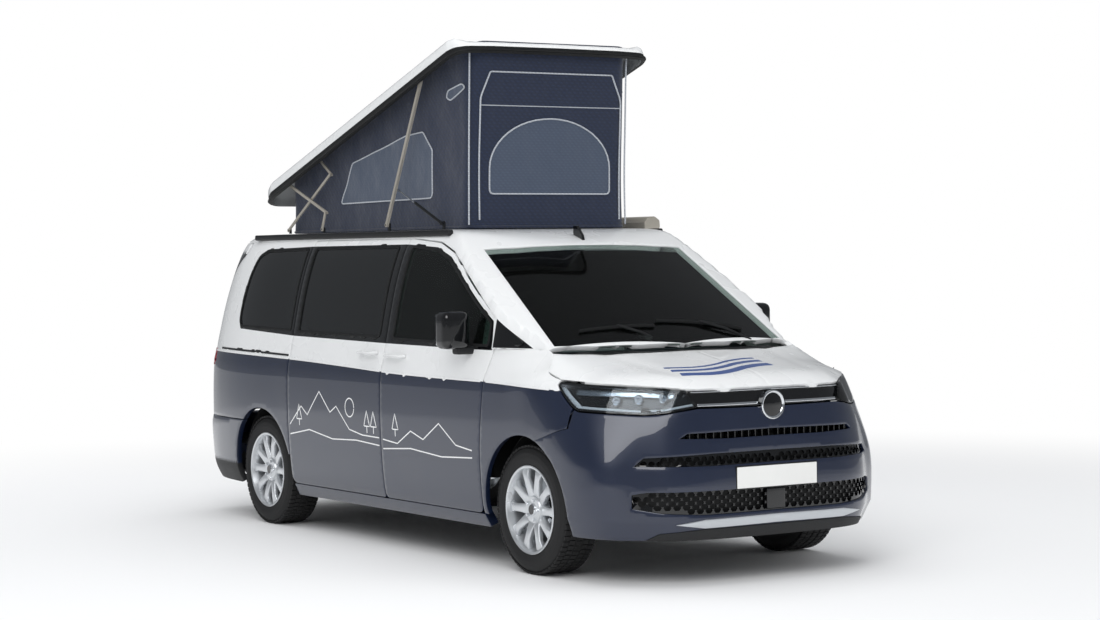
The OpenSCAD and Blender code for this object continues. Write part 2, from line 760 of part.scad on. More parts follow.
module tent_body(t) {
  low = roof_z + touch - (t > 0 ? 5 : 0);
  lift = t > 0 ? 60 : 0;
  front = tent_front - t;
  rear = tent_rear + t;
  brow = lifted(f(-1140, tent_top));
  back = lifted(f(-3500, tent_top));
  lean = (brow[1] - back[1]) / (brow[0] - back[0]);
  across(tent_w / 2 - t) polygon([[rear, low], [front, low], [front, brow[1] + lift],
    [brow[0], brow[1] + lift], [rear, back[1] + (rear - back[0]) * lean + lift]]);
}
module tent() {
  color("#1e2a45") difference() {
    tent_body(0);
    tent_body(tent_t);
  }
}
module lift_mounts() {
  color("#b9b2a4") both() {
    lug(strut_base, strut_y - strut_t / 2 - link_gap - link_t / 2, strut_y + strut_t / 2 - link_t / 2,
        roof_z);
    lug(gas_base, gas_y - 17, gas_y + 2, roof_z);
    lug(arm_base, plane_upper, plane_long, roof_z);
    lug(lower_base, plane_cross, plane_lower, roof_z);
  }
}
module main_struts() {
  color("#b9b2a4") both() {
    link(strut_base, on_strut(strut_l), strut_y, strut_w - 4, strut_t);
    aimed(on_strut(gas_hold), on_strut(strut_l), strut_y - strut_t / 2 - 2) disc(pin_r, 4);
    aimed(on_strut(strut_l), on_strut(strut_l + 1), strut_y + strut_t / 2 + 2) disc(8, 4);
  }
}
module gas_cylinders() {
  color("#3a3a3a") both() aimed(gas_base, on_strut(gas_hold), gas_y) difference() {
    union() {
      disc(11, 12);
      rotate([0, 90, 0]) cylinder(r = gas_tube_r, h = gas_tube_l);
    }
    translate([26, 0, 0]) rotate([0, 90, 0]) cylinder(r = gas_rod_r + pin_fit, h = gas_tube_l);
    disc(pin_r + pin_fit, 40);
  }
}
module gas_rods() {
  l = norm(on_strut(gas_hold) - gas_base);
  color("silver") both() aimed(gas_base, on_strut(gas_hold), gas_y) {
    difference() {
      union() {
        translate([l - gas_rod_l, 0, 0]) rotate([0, 90, 0]) cylinder(r = gas_rod_r, h = gas_rod_l);
        translate([l, 0, 0]) disc(10, 9);
      }
      translate([l, 0, 0]) disc(pin_r + 1, 20);
    }
  }
}
module rear_long_arms() color("#b9b2a4") both() link(arm_base, arm_tip, plane_long, link_w, link_t);
module rear_cross_arms() color("#b9b2a4") both() link(lifted(cross_shut), lower_tip, plane_cross, link_w,
    link_t);
module rear_upper_links() color("#b9b2a4") both() link(lifted(upper_shut), arm_tip, plane_upper, link_w,
    link_t);
module rear_lower_links() color("#b9b2a4") both() link(lower_base, lower_tip, plane_lower, link_w, link_t);

// Inside
module dashboard() {
  color("#26282c") difference() {
    translate([axle_f - 640, 0, 0]) rotate([90, 0, 0]) linear_extrude(1480, center = true)
      polygon([[0, 870], [0, 1040], [50, 1128], [170, 1150], [300, 1150], [300, 1128], [170, 1128], [170,
          870]]);
    steering_column(column_r + pin_fit, -200);
  }
}
column_r = 20;
column_slope = 28;
wheel_centre = [axle_f - 745, 420, 1120];
module steering_column(r, start) {
  translate([wheel_centre[0], wheel_centre[1], wheel_centre[2]]) rotate([0, 90 + column_slope, 0])
    translate([0, 0, start]) cylinder(r = r, h = 260 - start);
}
module steering_wheel() {
  color("#17181a") {
    translate(wheel_centre) rotate([0, 90 + column_slope, 0]) {
      rotate_extrude() translate([175, 0]) circle(r = 16, $fn = 24);
      translate([0, 0, -14]) cylinder(r = 60, h = 30);
      for (a = [0, 120, 240]) rotate([0, 0, a]) translate([0, -16, -8]) cube([170, 32, 14]);
      cylinder(r = column_r, h = 230);
    }
  }
}
module seat(x, y, w) {
  translate([x, y - w / 2, 0]) rotate([90, 0, 0]) translate([0, 0, -w]) linear_extrude(w)
    polygon([[-20, 780], [0, 860], [60, 900], [430, 940], [490, 900], [480, 800]]);
  translate([x, y - w / 2, 0]) rotate([90, 0, 0]) translate([0, 0, -w]) linear_extrude(w)
    polygon([[-30, 790], [-170, 1420], [-60, 1440], [30, 1060], [58, 905], [0, 860]]);
  translate([x - 145, y - 130, 1425]) cube([90, 260, 190]);
}
module front_seats() {
  color("#8d9093") for (y = [-430, 430]) {
    seat(axle_f - 1390, y, 480);
    translate([axle_f - 1370, y - 190, floor_z + floor_t]) cube([400, 380, 291]);
  }
}
bench_x = axle_r + 60;
bench_y = -105;
bench_w = 920;
module rear_seats() {
  color("#8d9093") {
    seat(bench_x, bench_y, bench_w);
    translate([bench_x + 10, bench_y - bench_w / 2 + 20, floor_z + floor_t]) cube([400, bench_w - 40, 291]);
  }
}
module kitchen_unit() {
  color("#c9c6bd") translate([axle_r + 480, 400, floor_z + floor_t]) difference() {
    cube([1050, 380, 640]);
    translate([60, -1, 60]) cube([930, 300, 480]);
  }
}
module engine_block() {
  color("#55585c") translate([axle_f + 70, -rail_in, 330]) cube([430, 2 * rail_in, 560]);
}

// Running gear
arm_z = wheel_z - 105;
arm_up_z = wheel_z + 85;
arm_h = 26;
post_r = 15;
king = wheel_y - 75;
module front_axle() {
  color("#2b2d30") {
    difference() {
      union() {
        translate([axle_f - 100, -rail_in, arm_z]) cube([150, 2 * rail_in, 60]);
        both() {
          translate([axle_f - 90, -rail_in - 60, arm_z]) cube([130, 100, rail_z - arm_z]);
          translate([axle_f - 45, -king, arm_z]) cube([70, king - rail_in + 5, arm_h]);
          translate([axle_f, -king, arm_z]) cylinder(r = 32, h = arm_h);
          translate([axle_f - 35, -king, arm_up_z]) cube([60, king - rail_out, arm_h]);
          translate([axle_f, -king, arm_up_z]) cylinder(r = 30, h = arm_h);
        }
      }
      both() translate([axle_f, -king, 0]) cylinder(r = post_r + pin_fit, h = 900);
    }
  }
}
module knuckle() {
  color("#4a4d50") {
    translate([axle_f, -king, arm_z - 6]) cylinder(r = post_r, h = arm_up_z - arm_z + arm_h + 12);
    translate([axle_f, -king + 35, wheel_z]) rotate([90, 0, 0]) cylinder(r = 48, h = hub_face - king + 35);
    translate([axle_f, -hub_face, wheel_z]) rotate([90, 0, 0]) cylinder(r = hub_r - hub_fit, h = hub_len);
  }
}
module rear_axle() {
  color("#2b2d30") {
    translate([axle_r - 60, -rear_inner + 60, wheel_z - 50]) cube([120, 2 * rear_inner - 120, 80]);
    both() {
      translate([axle_r, -rear_inner + 70, wheel_z]) rotate([90, 0, 0]) cylinder(r = 48,
          h = hub_face - rear_inner + 70);
      translate([axle_r, -hub_face, wheel_z]) rotate([90, 0, 0]) cylinder(r = hub_r - hub_fit, h = hub_len);
      translate([axle_r - 45, -rear_inner + 60, wheel_z]) cube([90, 60, floor_z - wheel_z]);
    }
  }
}
rim_r = rim_d / 2;
bead = tyre_w / 2 - 22;
module rim(x, side) {
  color("silver") translate([x, side * wheel_y, wheel_z]) rotate([side * -90, 0, 0]) {
    rotate_extrude() polygon([[rim_r - 18, -bead - 6], [rim_r + 9, -bead - 6], [rim_r + 9, -bead - touch],
        [rim_r, -bead - touch],
      [rim_r, bead + touch], [rim_r + 9, bead + touch], [rim_r + 9, bead + 6], [rim_r - 18, bead + 6]]);
    difference() {
      union() {
        translate([0, 0, 28]) cylinder(r = 74, h = 46);
        for (i = [0:spokes - 1]) rotate([0, 0, i * 360 / spokes + 18]) translate([60, -15,
            52]) cube([rim_r - 70, 30, 26]);
      }
      translate([0, 0, 0]) cylinder(r = hub_r, h = 66);
    }
  }
}
module tyre(x, side) {
  outer = tyre_d / 2;
  color("#141414") translate([x, side * wheel_y, wheel_z]) rotate([side * -90, 0, 0]) rotate_extrude()
    polygon([[rim_r + touch, -bead], [rim_r + 12, -bead], [rim_r + 32, -tyre_w / 2 + 5], [outer - 50,
        -tyre_w / 2], [outer - 16, -tyre_w / 2 + 10],
      [outer, -tyre_w / 2 + 30], [outer, tyre_w / 2 - 30], [outer - 16, tyre_w / 2 - 10], [outer - 50,
          tyre_w / 2],
      [rim_r + 32, tyre_w / 2 - 5], [rim_r + 12, bead], [rim_r + touch, bead]]);
}
module left() mirror([0, 1, 0]) children();

roof_frame();
bonnet();
front_bumper();
rear_bumper();
both() right_front_wing();  // front_wings
right_front_door();
left() right_front_door();  // left_front_door
both() right_sliding_door();  // sliding_doors
both() right_rear_side_panel();  // rear_side_panels
tailgate();
sills();
floor_pan();
b_pillars();
wheel_housings();
windscreen();
right_door_glass();
left() right_door_glass();  // left_door_glass
side_windows();
rear_window();
headlights();
nose_band();
tail_lights();
front_plate();
rear_plate();
roof_fin();
right_mirror();
left() right_mirror();  // left_mirror
roof_rails();
awning();
roof_lid();
tent();
lift_mounts();
main_struts();
gas_cylinders();
gas_rods();
rear_long_arms();
rear_cross_arms();
rear_upper_links();
rear_lower_links();
dashboard();
steering_wheel();
front_seats();
rear_seats();
kitchen_unit();
engine_block();
front_axle();
rear_axle();
knuckle();  // right_knuckle
left() knuckle();  // left_knuckle
rim(axle_f, -1);  // front_right_rim
rim(axle_f, 1);  // front_left_rim
rim(axle_r, -1);  // rear_right_rim
rim(axle_r, 1);  // rear_left_rim
tyre(axle_f, -1);  // front_right_tyre
tyre(axle_f, 1);  // front_left_tyre
tyre(axle_r, -1);  // rear_right_tyre
tyre(axle_r, 1);  // rear_left_tyre
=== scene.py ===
"""Camper van with a raised pop-up roof: the finished surfaces around the fixed frame.

Every panel is cut out of one smooth body form, so that shut lines, windows and lamps meet
as pressed steel and glass do.
"""

import logging
import math
from dataclasses import dataclass
from enum import Enum
from typing import Callable, Iterable, Optional, Sequence

import bmesh
import bpy
import numpy as np
from mathutils import Matrix, Vector
from mathutils.geometry import delaunay_2d_cdt

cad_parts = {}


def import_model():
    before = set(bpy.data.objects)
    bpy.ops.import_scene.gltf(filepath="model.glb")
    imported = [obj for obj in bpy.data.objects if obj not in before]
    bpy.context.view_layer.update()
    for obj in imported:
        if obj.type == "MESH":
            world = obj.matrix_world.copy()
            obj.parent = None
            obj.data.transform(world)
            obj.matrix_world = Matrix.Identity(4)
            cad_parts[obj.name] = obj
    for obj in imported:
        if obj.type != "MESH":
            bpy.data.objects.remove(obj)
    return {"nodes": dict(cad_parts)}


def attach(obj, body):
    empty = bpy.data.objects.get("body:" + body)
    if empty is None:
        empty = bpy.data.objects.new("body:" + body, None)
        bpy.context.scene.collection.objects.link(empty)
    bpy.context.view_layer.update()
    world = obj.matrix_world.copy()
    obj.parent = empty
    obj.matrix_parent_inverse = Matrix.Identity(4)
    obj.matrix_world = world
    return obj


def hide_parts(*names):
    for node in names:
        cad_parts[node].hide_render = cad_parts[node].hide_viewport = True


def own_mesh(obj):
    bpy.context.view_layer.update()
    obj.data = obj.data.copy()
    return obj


LOG = logging.getLogger("camper")

Array = np.ndarray
Points = Sequence[Sequence[float]]
Place = Callable[[Array, Array], Array]

AXLE_FRONT = 1.6375
AXLE_REAR = -1.4865
FRONT_END = 2.5865
REAR_END = -2.5865
HALF = 0.9705
WHEEL_Z = 0.345
WHEEL_Y = 0.810
ARCH_R = 0.398
SHUT = 0.006

# The camera's place, its yaw, pitch and roll in degrees, its lens and its sensor in millimetres
CAMERA_AT = (12.3675, -7.702, 1.705)
CAMERA_TURN = (147.151, -1.368, -0.751)
CAMERA_LENS = 78.66
CAMERA_SENSOR = 36.0

# The steering wheel's centre and the tilt of its column in degrees
STEERING_AT = (0.8925, 0.42, 1.12)
STEERING_TILT = 28


def from_axle(points: Points) -> list[tuple[float, float]]:
    """Moves [x, z] points counted from the front axle into the row frame."""
    return [(x + AXLE_FRONT, z) for x, z in points]


def step(v: Array, low: float, high: float) -> Array:
    """Smooth step from 0 at low to 1 at high."""
    t = np.clip((v - low) / (high - low), 0.0, 1.0)
    return t * t * (3 - 2 * t)


class Curve:
    """A smooth curve through a table, without overshoot."""

    def __init__(self, at: Sequence[float], values: Points | Sequence[float]) -> None:
        """Stores the table and works out the slope at each entry.

        Args:
            at: the places, rising.
            values: a number or a row of numbers for each place.
        """
        self.x = np.array(at, float)
        self.v = np.array(values, float)
        gap = np.diff(self.x)
        rise = np.diff(self.v, axis=0) / (gap[:, None] if self.v.ndim > 1 else gap)
        self.m = np.zeros_like(self.v)
        both = rise[1:] * rise[:-1] > 0
        with np.errstate(divide="ignore", invalid="ignore"):
            mean = 2 * rise[1:] * rise[:-1] / (rise[1:] + rise[:-1])
        self.m[1:-1] = np.where(both, mean, 0.0)
        self.m[0], self.m[-1] = rise[0], rise[-1]

    def __call__(self, at: Array) -> Array:
        """Returns the curve's values at the given places."""
        at = np.clip(np.asarray(at, float), self.x[0], self.x[-1])
        i = np.clip(np.searchsorted(self.x, at) - 1, 0, len(self.x) - 2)
        gap = self.x[i + 1] - self.x[i]
        t = (at - self.x[i]) / gap
        if self.v.ndim > 1:
            t, gap = t[:, None], gap[:, None]
        a, b = self.v[i], self.v[i + 1]
        p, q = self.m[i] * gap, self.m[i + 1] * gap
        return (a * (1 + 2 * t) + p * t) * (1 - t) ** 2 + (b * (3 - 2 * t) - q * (1 - t)) * t * t


class BodyForm:
    """The outside of the body as formulas: the ring round the van and the top surfaces."""

    WIDTH = Curve(
        [0.205, 0.35, 0.60, 0.80, 0.95, 1.02, 1.07, 1.20, 1.50, 1.70, 1.78, 1.812, 1.834, 1.846, 1.850],
        [0.895, 0.945, 0.965, 0.9705, 0.968, 0.963, 0.951, 0.9245, 0.8605, 0.797, 0.757, 0.732, 0.704, 0.672,
            0.630],
    )
    TAIL_RAKE = Curve(
        [0.205, 0.30, 0.38, 0.60, 0.66, 0.90, 1.10, 1.30, 1.50, 1.70, 1.78, 1.84],
        [0.060, 0.014, 0.002, 0.004, 0.034, 0.046, 0.060, 0.085, 0.128, 0.180, 0.206, 0.250],
    )
    TAIL_PLAN = [(0.0, 0.9705), (0.0, 0.70), (0.008, 0.37), (0.03, 0.225), (0.09, 0.145), (0.20, 0.085),
        (0.45, 0.03), (0.82, 0.0)]
    NOSE_Z = [0.225, 0.30, 0.345, 0.507, 0.60, 0.67, 0.764, 0.836, 0.905, 0.99, 1.05, 1.10]
    NOSE_ROWS = [
        [(0.040, HALF), (0.044, 0.66), (0.062, 0.49), (0.115, 0.36), (0.205, 0.270), (0.300, 0.160),
            (0.410, 0.105), (0.56, 0.075)],
        [(0.012, HALF), (0.016, 0.65), (0.036, 0.48), (0.092, 0.34), (0.199, 0.225), (0.292, 0.120),
            (0.400, 0.070), (0.56, 0.042)],
        [(0.004, HALF), (0.008, 0.65), (0.028, 0.475), (0.086, 0.33), (0.199, 0.200), (0.290, 0.096),
            (0.400, 0.050), (0.56, 0.024)],
        [(0.002, HALF), (0.006, 0.65), (0.029, 0.475), (0.090, 0.33), (0.199, 0.207), (0.288, 0.092),
            (0.400, 0.034), (0.56, 0.010)],
        [(0.006, HALF), (0.011, 0.65), (0.035, 0.480), (0.096, 0.335), (0.199, 0.218), (0.292, 0.098),
            (0.402, 0.034), (0.56, 0.006)],
        [(0.012, HALF), (0.017, 0.65), (0.042, 0.485), (0.103, 0.345), (0.199, 0.232), (0.300, 0.112),
            (0.410, 0.040), (0.57, 0.004)],
        [(0.022, HALF), (0.028, 0.65), (0.054, 0.490), (0.114, 0.358), (0.199, 0.258), (0.315, 0.138),
            (0.430, 0.055), (0.60, 0.006)],
        [(0.032, HALF), (0.038, 0.65), (0.065, 0.495), (0.122, 0.372), (0.199, 0.286), (0.328, 0.160),
            (0.450, 0.070), (0.63, 0.012)],
        [(0.044, HALF), (0.050, 0.66), (0.078, 0.505), (0.132, 0.392), (0.202, 0.322), (0.338, 0.182),
            (0.470, 0.085), (0.66, 0.022)],
        [(0.058, HALF), (0.065, 0.67), (0.092, 0.520), (0.146, 0.422), (0.210, 0.365), (0.350, 0.215),
            (0.490, 0.115), (0.68, 0.050)],
        [(0.080, HALF), (0.088, 0.69), (0.115, 0.545), (0.168, 0.452), (0.230, 0.395), (0.365, 0.245),
            (0.505, 0.145), (0.70, 0.085)],
        [(0.110, HALF), (0.118, 0.70), (0.145, 0.560), (0.198, 0.472), (0.260, 0.415), (0.390, 0.265),
            (0.525, 0.165), (0.71, 0.105)],
    ]
    FLANK_U = [-1.2, -0.4, 0.4, 1.1, 1.45, 1.70]

    def __init__(self) -> None:
        """Lays out the unrolled coordinate u: it is x along the flank and runs on round both corners."""
        tail = np.array(self.TAIL_PLAN)
        run = np.hypot(*np.diff(tail, axis=0).T)
        start = REAR_END + tail[-1, 0]
        tail_u = start - (run.sum() - np.concatenate([[0], np.cumsum(run)]))
        self.tail_reach = np.array([1, 1, 1, 1, 1, 0.9, 0.55, 0.12])
        self.nose = Curve(self.NOSE_Z, np.array(self.NOSE_ROWS)[:, ::-1].reshape(len(self.NOSE_Z), -1))
        row = np.array(self.NOSE_ROWS[3])[::-1]
        first = FRONT_END - row[0, 0]
        nose_u = first + np.concatenate([[0], np.cumsum(np.hypot(*np.diff(row, axis=0).T))])
        self.keys = np.concatenate([tail_u, self.FLANK_U, nose_u])
        self.u_tail, self.u_nose = float(tail_u[0]), float(nose_u[-1])

    def half_width(self, x: Array, z: Array) -> Array:
        """Half of the body's width at x and z, drawn in at the wings' shoulders by the windscreen."""
        return self.WIDTH(z) - 0.125 * step(x, 1.24, 1.69) * step(z, 1.0, 1.19)

    def ring(self, u: Array, z: Array) -> Array:
        """Points of the right-hand side of the ring round the van.

        Args:
            u: unrolled coordinate.
            z: height.

        Returns:
            An N by 3 array of points.
        """
        u, z = np.atleast_1d(np.asarray(u, float)), np.atleast_1d(np.asarray(z, float))
        wide = self.WIDTH(z)
        tail = np.array(self.TAIL_PLAN)
        rake = self.TAIL_RAKE(z)
        xs = [REAR_END + d + rake * k for (d, _), k in zip(tail, self.tail_reach)]
        ys = [wide * (1 - i / HALF) for _, i in tail]
        for x in self.FLANK_U:
            xs.append(np.full_like(z, x))
            ys.append(self.half_width(np.full_like(z, x), z))
        rows = self.nose(z)
        for k in range(8):
            xs.append(FRONT_END - rows[:, 2 * k])
            ys.append(np.minimum(HALF - rows[:, 2 * k + 1], self.half_width(xs[-1], z)))
        ys[-1] = np.zeros_like(z)
        x_key, y_key = np.array(xs).T, np.array(ys).T
        keys = self.keys
        i = np.clip(np.searchsorted(keys, u) - 1, 0, len(keys) - 2)
        n = np.arange(len(u))
        gap = keys[i + 1] - keys[i]
        t = np.clip((u - keys[i]) / gap, 0, 1)
        out = []
        for table in (x_key, y_key):
            slope = np.zeros_like(table)
            slope[:, 1:-1] = (table[:, 2:] - table[:, :-2]) / (keys[2:] - keys[:-2])
            slope[:, 0] = (table[:, 1] - table[:, 0]) / (keys[1] - keys[0])
            slope[:, -1] = (table[:, -1] - table[:, -2]) / (keys[-1] - keys[-2])
            if table is x_key:
                slope[:, 0] = slope[:, -1] = 0.0
            a, b = table[n, i], table[n, i + 1]
            p, q = slope[n, i] * gap, slope[n, i + 1] * gap
            out.append((a * (1 + 2 * t) + p * t) * (1 - t) ** 2 + (b * (3 - 2 * t) - q * (1 - t)) * t * t)
        return np.stack([out[0], -out[1], z], axis=1)

    def u_for_y(self, y: float, z: float, tail: bool = False) -> float:
        """The u at which the ring is y out from the centre plane, at the nose or at the tail."""
        low, high = (self.u_tail, -1.2) if tail else (self.u_nose, 1.8)
        for _ in range(40):
            middle = (low + high) / 2
            if -self.ring(np.array([middle]), np.array([z]))[0, 1] < y:
                low = middle
            else:
                high = middle
        return (low + high) / 2

    def u_for_x(self, x: float, z: float) -> float:
        """The u at which the ring's right side reaches forward to x."""
        low, high = 1.0, self.u_nose
        for _ in range(40):
            middle = (low + high) / 2
            if self.ring(np.array([middle]), np.array([z]))[0, 0] < x:
                low = middle
            else:
                high = middle
        return (low + high) / 2

    CROWN = Curve([0, 0.40, 0.65, 0.80, 0.88, 0.96], [0, 0.010, 0.030, 0.056, 0.086, 0.135])

    def bonnet(self, x: Array, y: Array) -> Array:
        """Points of the bonnet over [x, y]."""
        a = x - AXLE_FRONT
        edge = np.sqrt(np.maximum(1 - (np.abs(y) / 0.97) ** 2.6, 0)) * 0.07 + 0.83
        lip = np.clip((a - (edge - 0.20)) / 0.22, 0, 1.2)
        strength = 0.45 + 0.95 * step(a, 0.0, 0.42) - 0.25 * step(a, 0.5, 0.8)
        z = 1.046 + 0.1853 * (0.889 - a) - self.CROWN(np.abs(y)) * strength - 0.034 * lip**2
        z -= 0.010 * np.exp(-(((np.abs(y) - 0.40 - 0.18 * (0.9 - a)) / 0.05) ** 2)) * 0.35
        return np.stack([x, y, z], axis=1)

    def section_top(self, x: Array, y: Array) -> Array:
        """Height at which the body's section is |y| wide, found by halving."""
        low, high = np.full_like(y, 1.02), np.full_like(y, 1.8499)
        for _ in range(24):
            middle = (low + high) / 2
            wide = self.half_width(x, middle) > np.abs(y)
            low, high = np.where(wide, middle, low), np.where(wide, high, middle)
        return low

    ROOF_LINE = Curve(
        [-2.60, -2.45, -2.30, -2.10, -1.80, 0.39, 0.52, 0.64, 0.757, 0.877, 1.0],
        [1.770, 1.800, 1.826, 1.845, 1.850, 1.850, 1.843, 1.824, 1.791, 1.747, 1.69],
    )
    RAKE = math.radians(30.9)

    def screen_height(self, x: Array, y: Array) -> Array:
        """Height of the windscreen's surface over [x, y]."""
        bow = y * y / (2 * 4.26)
        down = (x - (AXLE_FRONT + 0.150)) * math.tan(self.RAKE)
        return 1.200 - down - bow / math.cos(self.RAKE)

    def upper(self, x: Array, y: Array) -> Array:
        """Points of the roof, its header and the windscreen pillars over [x, y]."""
        parts = np.stack([self.ROOF_LINE(x), self.section_top(x, y), self.screen_height(x, y) + 0.004])
        soft = 0.007
        z = -soft * np.log(np.exp(-(parts - parts.min(0)) / soft).sum(0)) + parts.min(0)
        return np.stack([x, y, z + soft * 0.2], axis=1)


BODY = BodyForm()


# ---------------------------------------------------------------- outlines and meshes


def resample(loop: Points, gap: float, closed: bool = True) -> Array:
    """Adds points along a line so that none of its steps is longer than gap."""
    pts = np.array(loop, float)
    ends = np.roll(pts, -1, 0) if closed else pts[1:]
    out = []
    for a, b in zip(pts, ends):
        n = max(1, math.ceil(float(np.linalg.norm(b - a)) / gap))
        out.extend(a + (b - a) * k / n for k in range(n))
    if not closed:
        out.append(pts[-1])
    return np.array(out)


def rounded(loop: Points, radius: float | Sequence[float], parts: int = 6) -> list[tuple[float, float]]:
    """Rounds an outline's corners.

    Args:
        loop: the corners.
        radius: one radius, or one for each corner.
        parts: steps in each rounded corner.

    Returns:
        The new outline.
    """
    pts = np.array(loop, float)
    n = len(pts)
    sizes = [radius] * n if isinstance(radius, (int, float)) else list(radius)
    out: list[tuple[float, float]] = []
    for i, r in enumerate(sizes):
        p, a, b = pts[i], pts[i - 1], pts[(i + 1) % n]
        la, lb = np.linalg.norm(a - p), np.linalg.norm(b - p)
        da, db = (a - p) / la, (b - p) / lb
        half = math.acos(float(np.clip(da @ db, -1, 1))) / 2
        if r <= 0 or half > math.pi / 2 - 0.02:
            out.append((float(p[0]), float(p[1])))
            continue
        cut = min(r / math.tan(half), la * 0.48, lb * 0.48)
        s, e = p + da * cut, p + db * cut
        for k in range(parts + 1):
            t = k / parts
            q = s * (1 - t) ** 2 + 2 * p * t * (1 - t) + e * t * t
            out.append((float(q[0]), float(q[1])))
    return out


def grown(loop: Points, out: float) -> list[tuple[float, float]]:
    """Offsets a closed outline outwards, or inwards when out is negative."""
    pts = np.array(loop, float)
    nxt = np.roll(pts, -1, 0)
    area = float((pts[:, 0] * nxt[:, 1] - nxt[:, 0] * pts[:, 1]).sum())
    side = 1.0 if area > 0 else -1.0
    d = nxt - pts
    d /= np.linalg.norm(d, axis=1)[:, None] + 1e-12
    normal = np.stack([d[:, 1], -d[:, 0]], 1) * side
    before = np.roll(normal, 1, 0)
    mean = normal + before
    scale = 1 + (normal * before).sum(1)
    moved = pts + out * mean / np.maximum(scale, 0.35)[:, None]
    return [(float(a), float(b)) for a, b in moved]


def inside(pts: Array, loop: Array) -> Array:
    """Even-odd test of points against a closed outline."""
    x0, y0 = loop.T
    x1, y1 = np.roll(loop, -1, 0).T
    px, py = pts[:, :1], pts[:, 1:]
    cross = (y0 > py) != (y1 > py)
    at = (x1 - x0) * (py - y0) / np.where(y1 == y0, 1e-12, y1 - y0) + x0
    return (cross & (px < at)).sum(1) % 2 == 1


@dataclass(frozen=True)
class Net:
    """A flat triangle net."""

    points: Array
    faces: Array


def flat_net(outline: Points, holes: Sequence[Points] = (), lines: Sequence[Points] = (),
    gap: float = 0.03) -> Net:
    """Fills an outline with even triangles, around its holes and along its lines.

    Args:
        outline: the outer edge.
        holes: closed outlines left open.
        lines: open lines that triangle edges follow.
        gap: wanted edge length.

    Returns:
        The net.
    """
    rim = resample(outline, gap)
    loops = [rim] + [resample(h, gap) for h in holes]
    chains = [(loop, True) for loop in loops] + [(resample(line, gap, False), False) for line in lines]
    fixed = np.concatenate([c for c, _ in chains])
    edges, start = [], 0
    for chain, closed in chains:
        n = len(chain)
        edges += [(start + k, start + (k + 1) % n) for k in range(n if closed else n - 1)]
        start += n
    low, high = rim.min(0), rim.max(0)
    rows = np.arange(low[1] + gap / 2, high[1], gap * 0.866)
    grid = [(x, y) for k, y in enumerate(rows) for x in np.arange(low[0] + gap * (0.25 + 0.5 * (k % 2)),
        high[0], gap)]
    inner = np.array(grid) if grid else np.zeros((0, 2))
    if len(inner):
        ok = inside(inner, rim)
        for h in loops[1:]:
            ok &= ~inside(inner, h)
        inner = inner[ok]
    if len(inner):
        near = np.full(len(inner), 1e9)
        for k in range(0, len(fixed), 400):
            block = fixed[k : k + 400]
            near = np.minimum(near, np.linalg.norm(inner[:, None] - block[None], axis=2).min(1))
        inner = inner[near > gap * 0.55]
    everything = np.concatenate([fixed, inner])
    made = delaunay_2d_cdt([Vector(p) for p in everything], edges, [], 0, 1e-6)
    pts = np.array([tuple(v) for v in made[0]])
    tris = np.array([f for f in made[2] if len(f) == 3])
    mid = pts[tris].mean(1)
    keep = inside(mid, rim)
    for h in loops[1:]:
        keep &= ~inside(mid, h)
    tris = tris[keep]
    a, b, c = pts[tris[:, 0]], pts[tris[:, 1]], pts[tris[:, 2]]
    turn = (b[:, 0] - a[:, 0]) * (c[:, 1] - a[:, 1]) - (b[:, 1] - a[:, 1]) * (c[:, 0] - a[:, 0])
    tris = np.where((turn < 0)[:, None], tris[:, ::-1], tris)[np.abs(turn) > 1e-9]
    return Net(pts, tris)


class Side(Enum):
    """Which side of the van a piece is made for."""

    RIGHT = 1
    LEFT = 2
    BOTH = 3
    WHOLE = 4


def new_object(name: str, mesh: bpy.types.Mesh) -> bpy.types.Object:
    """Makes an object of a mesh and links it."""
    obj = bpy.data.objects.new(name, mesh)
    bpy.context.scene.collection.objects.link(obj)
    return obj


def sharpen(mesh: bpy.types.Mesh, degrees: float = 32) -> None:
    """Shades a mesh smooth except along its sharp edges."""
    mesh.shade_smooth()
    mesh.set_sharp_from_angle(angle=math.radians(degrees))


def baked(obj: bpy.types.Object, degrees: float = 32) -> bpy.types.Object:
    """Applies an object's modifiers and shades it."""
    bpy.context.view_layer.update()
    mesh = bpy.data.meshes.new_from_object(obj.evaluated_get(bpy.context.evaluated_depsgraph_get()))
    obj.modifiers.clear()
    obj.data = mesh
    sharpen(mesh, degrees)
    return obj


def settle(obj: bpy.types.Object, body: str, replaces: Iterable[str] = ()) -> bpy.types.Object:
    """Hangs a piece on its body and hides the nodes it stands for."""
    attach(obj, body)
    names = list(replaces)
    if names:
        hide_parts(*names)
    return obj


def mesh_of(name: str, points: Array, faces: Iterable[Sequence[int]], mats: Sequence[bpy.types.Material],
    pick: Optional[Array] = None) -> bpy.types.Object:
    """Makes an object from points, faces, finishes and each face's finish."""
    mesh = bpy.data.meshes.new(name)
    mesh.from_pydata([tuple(p) for p in points], [], [tuple(int(i) for i in f) for f in faces])
    for m in mats:
        mesh.materials.append(m)
    if pick is not None:
        mesh.polygons.foreach_set("material_index", np.asarray(pick, np.int32))
    mesh.update()
    return new_object(name, mesh)


